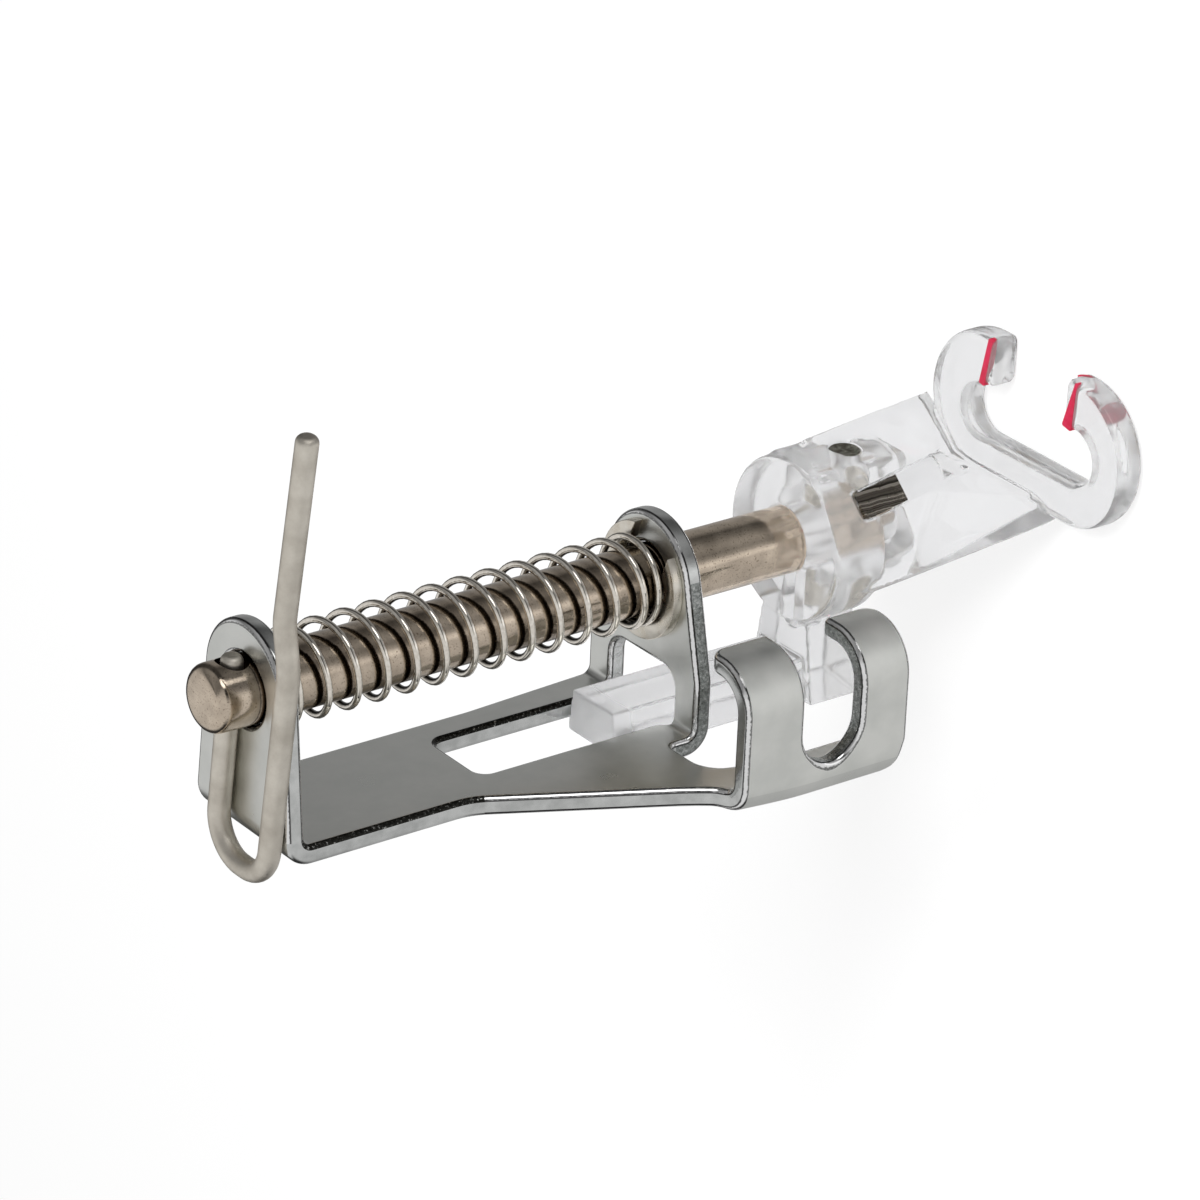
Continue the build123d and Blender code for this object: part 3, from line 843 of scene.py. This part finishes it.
def makeShaft():
    s = shaftSettings
    radius, groove, edge = s["radius"], s["groove"], s["grooveEdge"]
    grooveLow = layout["lowEarTop"]
    grooveTop = grooveLow + s["grooveHeight"]
    profile = roundedProfile([
        (0, layout["shaftTop"]),
        (radius, layout["shaftTop"], s["rounding"]),
        (radius, grooveTop, edge),
        (groove, grooveTop, edge),
        (groove, grooveLow, edge),
        (radius, grooveLow, edge),
        (radius, layout["shaftLow"], s["lowEdge"]),
        (0, layout["shaftLow"]),
    ])
    shaft = toPiece(turned(profile), "slidingShaft")
    start, step, size = s["recess"]
    hole = [at(0, start + k * step, wireSettings["height"]) for k in range(3)]
    combine(shaft, [toPiece(wireAlong(hole, size, 40), "recess")], "DIFFERENCE")
    shaft.data.materials.append(finishes["nickelBar"])
    smooth(shaft)
    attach(shaft, "slider")
    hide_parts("shaft")


makeShaft()
print("shaft turned")


springSettings = {
    "wire": 0.43,
    "mean": 5.16,
    "rest": (-0.04, 0.11),     # how far it hangs off the shaft's axis
    "turns": 12.4,
    "closedTurns": 1.0,
    "opening": 0.3,            # half the run over which a closed turn opens
    "closedGap": 0.03,
    "seat": 0.01,
    "startTurn": -125.0,       # where its lower end lies, in degrees
    "perTurn": 36,
    "around": 14,
    "tip": 0.06,
}


def makeSpring():
    s = springSettings
    low = layout["lowEarTop"] + layout["clip"] + s["wire"] / 2 + s["seat"]
    high = layout["topEarBottom"] - s["wire"] / 2 - s["seat"]
    total = s["turns"] + 2 * s["closedTurns"]
    closedPitch = s["wire"] + s["closedGap"]
    steps = int(total * s["perTurn"])

    def opened(turn):
        # 0 in the closed end turns, 1 between them
        fromEnd = min(turn, total - turn) - s["closedTurns"]
        return ease(fromEnd, -s["opening"], s["opening"])

    stretch = [opened(total * (k + 0.5) / steps) for k in range(steps)]
    spare = (high - low) - closedPitch * total
    scale = spare / (sum(stretch) * total / steps)
    path = []
    height = low
    for k in range(steps + 1):
        a = math.radians(s["startTurn"]) + 2 * pi * total * k / steps
        side, front = s["mean"] / 2 * math.cos(a), s["mean"] / 2 * math.sin(a)
        path.append(at(side + s["rest"][0], front + s["rest"][1], height))
        if k < steps:
            height += (closedPitch + stretch[k] * scale) * total / steps
    spring = toPiece(wireAlong(path, s["wire"] / 2, s["around"], s["tip"]), "coilSpring")
    spring.data.materials.append(finishes["polishedWire"])
    smooth(spring, 50)
    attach(spring, "bracket")
    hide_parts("spring")
    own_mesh(spring)
    return spring


coilSpring = makeSpring()
print("spring wound:", len(coilSpring.data.polygons), "faces")


clipSettings = {
    "outer": 3.5,
    "inner": 2.45,
    "seat": 1.63,
    "lug": 1.3,
    "mouth": 3.3,
    "mouthTurn": 69.0,
    "edge": 0.07,
}


def makeClip():
    s = clipSettings
    outer, inner, seat, turn = s["outer"], s["inner"], s["seat"], s["mouthTurn"]

    def halfAngle(width, radius):
        return math.degrees(math.asin(width / 2 / radius))

    outerHalf, innerHalf = halfAngle(s["mouth"], outer), halfAngle(s["mouth"], inner)
    wide, narrow = halfAngle(s["lug"], inner), halfAngle(s["lug"], seat)
    loop = arc((0, 0), outer, turn + outerHalf, turn + 360 - outerHalf, 90)
    start = turn + 360 - innerHalf
    for lug in (turn + 270, turn + 180, turn + 90):
        loop += arc((0, 0), inner, start, lug + wide, 10)
        loop += arc((0, 0), seat, lug + narrow, lug - narrow, 10)
        start = lug - wide
    loop += arc((0, 0), inner, start, turn + innerHalf, 10)
    bm = blankFromLoops("clipBlank", [loop], layout["clip"], s["edge"], 2)
    for vert in bm.verts:
        vert.co = at(vert.co.x, vert.co.y, layout["lowEarTop"] + vert.co.z)
    bmesh.ops.recalc_face_normals(bm, faces=bm.faces)
    clip = toPiece(bm, "retainingClip")
    clip.data.materials.append(finishes["clipPlate"])
    smooth(clip, 50)
    evenNormals(clip)
    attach(clip, "slider")
    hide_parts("clip")


makeClip()
print("clip cut")


def makeLiftWire():
    s = wireSettings
    line = roundedLoop(s["bends"], steps=s["bendSteps"], closed=False)
    path = [at(p.x, p.y, s["height"]) for p in line]
    wire = toPiece(wireAlong(path, s["radius"], s["around"], s["tip"]), "liftWire")
    wire.data.materials.append(finishes["satinWire"])
    smooth(wire, 50)
    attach(wire, "slider")
    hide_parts("lift_wire")


makeLiftWire()
print("lift wire bent")


toeSettings = {
    "grain": 0.14,             # remesh size
    "softenSteps": 4,
    "hubRadius": 4.95,
    "hubHeight": 3.9,
    "hubEdge": 0.6,
    "hubFaceEdge": 0.2,
    "noseRadius": 3.1,
    "noseLow": -13.8,
    "noseEdge": 0.8,
    "noseRoot": 0.2,
    "bossHalf": 2.4,
    "bossFront": 4.75,
    "bossHeight": 7.0,
    "bossEdge": 0.5,
    "armDrop": 0.4,
    "armHalves": (1.35, 2.9),     # at the hub and at the back
    "barHalves": (1.95, 2.3),     # at its front and at its back
    "barFront": -7.0,
    "barBack": -9.7,
    "barEdge": 0.25,
    "barReach": 13.3,
    "ringTop": -17.3,
    "ringThickness": 1.9,
    "ringEdge": 0.5,
    "ringCentre": (7.3, 7.05),
    "ringSize": (16.9, 9.0),
    "eyeCentre": (7.5, 6.85),
    "eyeSize": (11.2, 3.3),
    "mouth": 6.5,
    "mouthFront": 14,
    "mouthSpan": (-4, 0.8),       # from the ring's top face
    "slit": (0.3, 1.2),           # between the hub and its arm
    "slitBack": -5.35,
    "slitSpan": (-2.0, 1),        # from the hub's top
    "bore": 2.05,
    "boreRoom": 0.03,
    "pinHole": 0.98,
    "pinRun": (6, 0, -4.5),
}


def stadium(centre, size, steps=32):
    run = (size[0] - size[1]) / 2
    r = size[1] / 2
    right = arc((centre[0] + run, centre[1]), r, -90, 90, steps)
    left = arc((centre[0] - run, centre[1]), r, 90, 270, steps)
    return right + left


def ringBody():
    s = toeSettings
    loops = [stadium(s["ringCentre"], s["ringSize"]), stadium(s["eyeCentre"], s["eyeSize"])]
    bm = blankFromLoops("ringBlank", loops, s["ringThickness"], s["ringEdge"], 6)
    for vert in bm.verts:
        vert.co = at(vert.co.x, vert.co.y, s["ringTop"] - s["ringThickness"] + vert.co.z)
    bmesh.ops.recalc_face_normals(bm, faces=bm.faces)
    return bm


# leg: outlines at its head, fold and foot, as (side, front)
legSettings = {
    "thickness": 2.2,
    "head": ((-1.3, 5.3), (4.5, -2.3)),
    "headDrops": (2.2, 2.2),      # below the hub's top
    "fold": ((-1.6, 5.8), (5.7, -1.2)),
    "foldDrops": (8.1, 5.85),
    "foot": ((-1.9, 6.0), (1.4, 3.8), (10.1, 3.8), (10.1, 2.3), (0.4, 2.3), (-3.2, 4.5)),
    "footDrop": 0.6,              # below the ring's top face
    # the foot is skinned to the outlines above it in two leaves
    "leaves": ((0, 1, 4, 5), (1, 2, 3, 4)),
}


def legBody(leaf):
    s = legSettings
    start, end = (Vector(corner) for corner in s["head"])
    across = (end - start).normalized()
    inward = Vector((across.y, -across.x, 0)) * s["thickness"]
    sections = []
    for name in ("head", "fold"):
        drops = s[name + "Drops"]
        ends = [Vector((*s[name][i], layout["hubTop"] - drops[i])) for i in (0, 1)]
        face = [ends[0], (ends[0] + ends[1]) / 2, ends[1]]
        sections.append(face + [p + inward for p in reversed(face)])
    sections.append([Vector((*c, toeSettings["ringTop"] - s["footDrop"])) for c in s["foot"]])
    bm = bmesh.new()
    rings = [[bm.verts.new(at(*section[i])) for i in leaf] for section in sections]
    for one, two in zip(rings, rings[1:]):
        for k in range(len(leaf)):
            n = (k + 1) % len(leaf)
            bm.faces.new((one[k], one[n], two[n], two[k]))
    bm.faces.new(rings[0])
    bm.faces.new(rings[-1])
    bmesh.ops.triangulate(bm, faces=[f for f in bm.faces if len(f.verts) == 4])
    bmesh.ops.recalc_face_normals(bm, faces=bm.faces)
    return bm


def hubBody():
    s = toeSettings
    hubLow = layout["hubTop"] - s["hubHeight"]
    return turned(roundedProfile([
        (0, layout["hubTop"]),
        (s["hubRadius"], layout["hubTop"], s["hubFaceEdge"]),
        (s["hubRadius"], hubLow, s["hubEdge"]),
        (s["noseRadius"], hubLow, s["noseRoot"]),
        (s["noseRadius"], s["noseLow"], s["noseEdge"]),
        (0, s["noseLow"]),
    ]), 96)


def bossBody():
    s = toeSettings
    half, front, edge = s["bossHalf"], s["bossFront"], s["bossEdge"]
    outline = roundedLoop([(-half, 0), (half, 0), (half, front, edge), (-half, front, edge)])
    return prism(outline, layout["hubTop"] - s["bossHeight"], layout["hubTop"] - s["hubEdge"])


def armBodies():
    s = toeSettings
    front, back, edge = s["barFront"], s["barBack"], s["barEdge"]
    hubLow = layout["hubTop"] - s["hubHeight"]
    near, far = s["armHalves"]
    armOutline = [(-near, 0), (near, 0), (far, back), (-far, back)]
    near, far = s["barHalves"]
    barOutline = roundedLoop([(-near, front), (near, front), (far, back, edge), (-far, back, edge)])
    arm = prism(armOutline, hubLow, layout["hubTop"] - s["armDrop"])
    bar = prism(barOutline, hubLow, layout["hubTop"] + s["barReach"])
    return [arm, bar]


pocketSettings = {
    "turn": (0.607, -0.795),      # across the pocket, as (side, front)
    "floor": (2.05, -0.6, -12.1),  # out of the shaft's axis, across it, and up
    "skew": 0.15,
    # width, length, floor, depth, shift along, and how far the upper end leans up
    "opening": (1.85, 6.4, 0.0, 5.0, 1.4, 3.9),
    "flat": (1.7, 3.3, -0.12, 0.08, 0.0, 0.0),
    "flatEdge": 0.05,
}


def pocketBlock(wide, tall, low, high, shift, lean):
    # block over the pocket's floor, which runs down beside the shaft
    s = pocketSettings
    across = Vector(s["turn"])
    outward = Vector((-across.y, across.x))
    place = outward * s["floor"][0] + across * s["floor"][1]
    centre = at(place.x, place.y, s["floor"][2])
    out = Vector((-outward.x, -outward.y, 0))
    down = Vector((across.x * s["skew"], across.y * s["skew"], -1)).normalized()
    span = out.cross(down)
    bm = bmesh.new()
    bmesh.ops.create_cube(bm, size=1)
    for vert in bm.verts:
        x, y, z = vert.co
        along = y * tall + shift
        if y < 0 < z:
            along -= lean
        depth = low + (z + 0.5) * (high - low)
        vert.co = centre + span * (x * wide) + down * along + out * depth
    bmesh.ops.recalc_face_normals(bm, faces=bm.faces)
    return bm


def toeCutters():
    s = toeSettings
    boreLow = layout["shaftLow"] - s["boreRoom"]
    bore = turned([(0, 0), (s["bore"], 0), (s["bore"], boreLow), (0, boreLow)], 96)
    near, far = s["slit"]
    outline = [(near, 0), (far, 0), (far, s["slitBack"]), (near, s["slitBack"])]
    slit = prism(outline, *(layout["hubTop"] + height for height in s["slitSpan"]))
    middle, back = s["eyeCentre"]
    near, far = middle - s["mouth"] / 2, middle + s["mouth"] / 2
    outline = [(near, back), (far, back), (far, s["mouthFront"]), (near, s["mouthFront"])]
    mouth = prism(outline, *(s["ringTop"] + height for height in s["mouthSpan"]))
    pin = wireAlong([at(0, front, layout["pinHeight"]) for front in s["pinRun"]], s["pinHole"], 48)
    return [bore, slit, mouth, pin, pocketBlock(*pocketSettings["opening"])]


def makeToe():
    s = toeSettings
    legs = [legBody(leaf) for leaf in legSettings["leaves"]]
    bodies = [hubBody(), bossBody(), *armBodies(), ringBody(), *legs]
    toe, *others = [toPiece(bm, "toe%d" % i) for i, bm in enumerate(bodies)]
    combine(toe, others, "UNION")
    cutters = [toPiece(bm, "cut%d" % i) for i, bm in enumerate(toeCutters())]
    combine(toe, cutters, "DIFFERENCE")
    toe.name = "clearToe"
    remesh = toe.modifiers.new("evenMesh", "REMESH")
    remesh.mode = "VOXEL"
    remesh.voxel_size = s["grain"] * mm
    soften = toe.modifiers.new("softenEdges", "SMOOTH")
    soften.factor = 0.5
    soften.iterations = s["softenSteps"]
    applyModifiers(toe)
    toe.data.materials.clear()
    toe.data.materials.append(finishes["clearMoulding"])
    for face in toe.data.polygons:
        face.use_smooth = True
    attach(toe, "slider")
    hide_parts("clear_toe")
    return toe


clearToe = makeToe()
print("toe moulded:", len(clearToe.data.polygons), "faces")


def makePocketFace():
    # the shaft's ground flat, bare in the pocket
    face = toPiece(pocketBlock(*pocketSettings["flat"]), "groundFlat")
    bevel = face.modifiers.new("edges", "BEVEL")
    bevel.width = pocketSettings["flatEdge"] * mm
    bevel.segments = 2
    applyModifiers(face)
    face.data.materials.append(finishes["groundSteel"])
    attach(face, "slider")


makePocketFace()
print("ground flat in the pocket")


pinSettings = {
    "radius": 0.95,
    "length": 9.2,
    "steps": 12,
    "tip": 0.12,
    "rim": 0.28,               # width of the rim round each dished end
    "dish": 0.25,
    "endTilt": 0.3,            # faces that point further along the pin are its cut ends
}


def makePin():
    s = pinSettings
    front = toeSettings["bossFront"]
    run = [front - s["length"] * k / s["steps"] for k in range(s["steps"] + 1)]
    path = [at(0, place, layout["pinHeight"]) for place in run]
    bm = wireAlong(path, s["radius"], 48, s["tip"])
    for cap in [f for f in bm.faces if len(f.verts) > 4]:
        bmesh.ops.inset_individual(bm, faces=[cap], thickness=s["rim"])
        inward = (at(0, 0, layout["pinHeight"]) - cap.calc_center_median()).normalized()
        bmesh.ops.translate(bm, verts=cap.verts, vec=inward * s["dish"])
    pin = toPiece(bm, "footPin")
    pin.data.materials.append(finishes["clipPlate"])
    pin.data.materials.append(finishes["pinSteel"])
    for face in pin.data.polygons:
        # dark where it was cut off
        face.material_index = 1 if abs(face.normal.y) > s["endTilt"] else 0
    smooth(pin, 60)
    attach(pin, "slider")
    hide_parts("foot_pin")


makePin()
print("pin in place")


markSettings = {
    "depth": 0.35,
    "proud": 0.02,
    # inner end, outer end, half the width at each
    "left": ((3.45, 8.5), (4.0, 11.5), 0.25, 0.18),
    "right": ((11.0, 8.55), (11.55, 11.5), 0.42, 0.08),
    "endRounds": (0.3, 0.7),      # shares of those halves
    "spotPlace": (11.0, -18.5),
    "spotFront": 11.45,
    "spotSize": (0.5, 0.19),
    "spotDepth": 0.12,
    "spotLean": -36,
}


def makeMark(side):
    # painted stroke in the ring's top face, beside the mouth
    s = markSettings
    inner, outer, wide, narrow = s[side]
    inner, outer = Vector(inner), Vector(outer)
    across = (outer - inner).orthogonal().normalized()
    innerRound, outerRound = s["endRounds"]
    outline = roundedLoop([
        (*(inner + across * wide), wide * innerRound),
        (*(inner - across * wide), wide * innerRound),
        (*(outer - across * narrow), narrow * outerRound),
        (*(outer + across * narrow), narrow * outerRound),
    ])
    top = toeSettings["ringTop"]
    mark = toPiece(prism(outline, top - s["depth"], top + s["proud"]), side + "Mark")
    mark.data.materials.append(finishes["redPaint"])
    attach(mark, "slider")
    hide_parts(side + "_mark")


def makeRimSpot():
    # a drop of the same paint on the right arm's outer side
    s = markSettings
    side, up = s["spotPlace"]
    long, short = s["spotSize"]
    lean = math.radians(s["spotLean"])
    bm = bmesh.new()
    bmesh.ops.create_uvsphere(bm, u_segments=32, v_segments=16, radius=1)
    for vert in bm.verts:
        x, y, z = vert.co.x * long, vert.co.y * s["spotDepth"], vert.co.z * short
        across = x * math.cos(lean) - z * math.sin(lean)
        rise = x * math.sin(lean) + z * math.cos(lean)
        vert.co = at(side + across, s["spotFront"] + y, up + rise)
    spot = toPiece(bm, "rimSpot")
    spot.data.materials.append(finishes["redPaint"])
    smooth(spot, 60)
    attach(spot, "slider")


for side in ("left", "right"):
    makeMark(side)
makeRimSpot()
print("marks painted")


# studio: a pale table, soft lamps, and a room that the metal and the plastic see
studioSettings = {
    "tableSize": 6.0,
    "tableDrop": 0.1,
    "paper": (0.92, 0.92, 0.92, 1),
    "glow": 0.72,                     # how much of the seen table shines by itself
    "tableThrough": (0.82, 0.82, 0.83, 1),    # what the clear plastic sees of it
    # place from the object's middle, size, and power
    "keyLamp": ((-0.10, -0.22, 0.26), 0.16, 1.4),
    "fillLamp": ((-0.26, 0.10, 0.20), 0.20, 0.6),
    "air": (0.5, 0.5, 0.5, 1),
    "airThrough": ((0.45, 0.82), (0.55, 0.6), (0.70, 0.85), (0.9, 0.65)),    # from below to above
    "card": (-0.45, -0.89, 0.04),     # towards the bright card
    "cardTone": 2.2,
    "cardSpan": (0.955, 0.985),
    # what the metal mirrors below the horizon, from -X round by -Y, +X and +Y, back to -X
    "lowTones": (
        (0.00, 0.72), (0.03, 0.98), (0.055, 0.78), (0.085, 0.40), (0.125, 0.25),
        (0.2, 0.33), (0.245, 0.25), (0.29, 0.15), (0.345, 0.09), (0.4, 0.29),
        (0.5, 0.34), (0.77, 0.48), (0.88, 0.56), (0.93, 0.62), (0.97, 0.66),
    ),
    "lowSpan": (-0.3, -0.12),
    # at the horizon itself
    "edgeTones": ((0.00, 0.6), (0.07, 0.05), (0.80, 0.04), (0.87, 0.6)),
    "highTones": (
        (0.00, 0.7), (0.06, 0.6), (0.16, 0.2), (0.3, 0.3),
        (0.42, 0.14), (0.5, 0.6), (0.6, 0.66), (0.9, 0.62),
    ),
    "highSpan": (0.1, 0.3),
}


def grey(stops):
    return tuple((place, (tone, tone, tone)) for place, tone in stops)


def roomTone(tree, way):
    # what the metal mirrors in each direction
    s = studioSettings
    unit = addNode(tree, "ShaderNodeVectorMath", {0: way}, operation="NORMALIZE").outputs[0]
    parts = addNode(tree, "ShaderNodeSeparateXYZ", {"Vector": unit}).outputs
    turn = {0: parts["Y"], 1: parts["X"]}
    angle = addNode(tree, "ShaderNodeMath", turn, operation="ARCTAN2").outputs[0]
    around = spread(tree, angle, 0, 1, -pi, pi)
    lowShare = spread(tree, parts["Z"], 1, 0, *s["lowSpan"])
    highShare = spread(tree, parts["Z"], 0, 1, *s["highSpan"])
    tone = tint(tree, around, grey(s["edgeTones"]))
    tone = blend(tree, lowShare, tone, tint(tree, around, grey(s["lowTones"])))
    tone = blend(tree, highShare, tone, tint(tree, around, grey(s["highTones"])))
    toCard = {0: unit, 1: Vector(s["card"]).normalized()}
    near = addNode(tree, "ShaderNodeVectorMath", toCard, operation="DOT_PRODUCT").outputs["Value"]
    bright = spread(tree, near, 0, s["cardTone"], *s["cardSpan"])
    return addNode(tree, "ShaderNodeVectorMath", {0: tone, 1: bright}, operation="ADD").outputs[0]


def byRay(tree, plain, mirrored, through, seen):
    # glossy first: a refracted ray counts as glossy too
    paths = addNode(tree, "ShaderNodeLightPath").outputs
    kinds = (("Is Glossy Ray", mirrored), ("Is Transmission Ray", through), ("Is Camera Ray", seen))
    shader = plain
    for ray, other in kinds:
        shader = addNode(tree, "ShaderNodeMixShader", {0: paths[ray], 1: shader, 2: other}).outputs[0]
    return shader


def emission(tree, colour):
    return addNode(tree, "ShaderNodeEmission", {"Color": colour, "Strength": 1.0}).outputs[0]


def tableTop(middle):
    s = studioSettings
    finish, tree = newFinish("paleTable")
    tree.nodes.clear()
    place = addNode(tree, "ShaderNodeNewGeometry").outputs["Position"]
    fromMiddle = {0: place, 1: middle}
    way = addNode(tree, "ShaderNodeVectorMath", fromMiddle, operation="SUBTRACT").outputs[0]
    paper = addNode(tree, "ShaderNodeBsdfDiffuse", {"Color": s["paper"]}).outputs[0]
    glow = {0: s["glow"], 1: paper, 2: emission(tree, (1, 1, 1, 1))}
    seen = addNode(tree, "ShaderNodeMixShader", glow).outputs[0]
    mirrored = emission(tree, roomTone(tree, way))
    through = emission(tree, s["tableThrough"])
    out = addNode(tree, "ShaderNodeOutputMaterial")
    tree.links.new(byRay(tree, paper, mirrored, through, seen), out.inputs["Surface"])
    return finish


def makeTable(middle):
    s = studioSettings
    half = s["tableSize"] / 2
    height = solidBox[0].z - s["tableDrop"] * mm
    mesh = bpy.data.meshes.new("table")
    corners = [(x * half, y * half, height) for x, y in ((-1, -1), (1, -1), (1, 1), (-1, 1))]
    mesh.from_pydata(corners, [], [(0, 1, 2, 3)])
    table = bpy.data.objects.new("table", mesh)
    bpy.context.scene.collection.objects.link(table)
    table.data.materials.append(tableTop(middle))


def makeLamp(name, middle):
    offset, size, power = studioSettings[name]
    lamp = bpy.data.lights.new(name, "AREA")
    lamp.shape = "RECTANGLE"
    lamp.size = size
    lamp.size_y = size
    lamp.energy = power
    holder = bpy.data.objects.new(name, lamp)
    holder.location = middle + Vector(offset)
    holder.rotation_euler = (-Vector(offset)).to_track_quat("-Z", "Y").to_euler()
    holder.visible_glossy = False
    holder.visible_transmission = False
    bpy.context.scene.collection.objects.link(holder)


def makeAir():
    s = studioSettings
    world = bpy.data.worlds.new("studioAir")
    bpy.context.scene.world = world
    world.use_nodes = True
    tree = world.node_tree
    tree.nodes.clear()
    way = addNode(tree, "ShaderNodeTexCoord").outputs["Generated"]
    rise = spread(tree, heightOf(tree, way), 0, 1, -1, 1)
    through = tint(tree, rise, grey(s["airThrough"]))
    airs = [
        addNode(tree, "ShaderNodeBackground", {"Color": colour, "Strength": 1.0}).outputs[0]
        for colour in (s["air"], roomTone(tree, way), through, (1, 1, 1, 1))
    ]
    out = addNode(tree, "ShaderNodeOutputWorld")
    tree.links.new(byRay(tree, *airs), out.inputs["Surface"])


boxMiddle = (solidBox[0] + solidBox[1]) / 2
makeTable(boxMiddle)
makeLamp("keyLamp", boxMiddle)
makeLamp("fillLamp", boxMiddle)
makeAir()
print("studio set")


# the photograph's camera, fitted to points on the foot
cameraSettings = {
    "place": (-227.348, -147.433, 189.994),
    "right": (-0.591051, -0.03815, -0.805732),
    "up": (0.364674, -0.90361, -0.224725),
    "back": (-0.719494, -0.426653, 0.547992),
    "lens": 177.0,
}


def makeCamera():
    s = cameraSettings
    lens = bpy.data.cameras.new("photoCamera")
    lens.lens = s["lens"]
    lens.sensor_width = 36
    lens.sensor_fit = "HORIZONTAL"
    lens.clip_start = 0.01
    lens.clip_end = 10
    camera = bpy.data.objects.new("photoCamera", lens)
    axes = Matrix((s["right"], s["up"], s["back"])).transposed()
    camera.matrix_world = Matrix.Translation(Vector(s["place"]) * mm) @ axes.to_4x4()
    bpy.context.scene.collection.objects.link(camera)
    bpy.context.scene.camera = camera


makeCamera()
# enough bounces for light to find its way out of the clear toe
bpy.context.scene.cycles.max_bounces = 24
bpy.context.scene.cycles.glossy_bounces = 16
bpy.context.scene.cycles.transmission_bounces = 24
bpy.context.scene.view_settings.view_transform = "Standard"
bpy.context.view_layer.update()
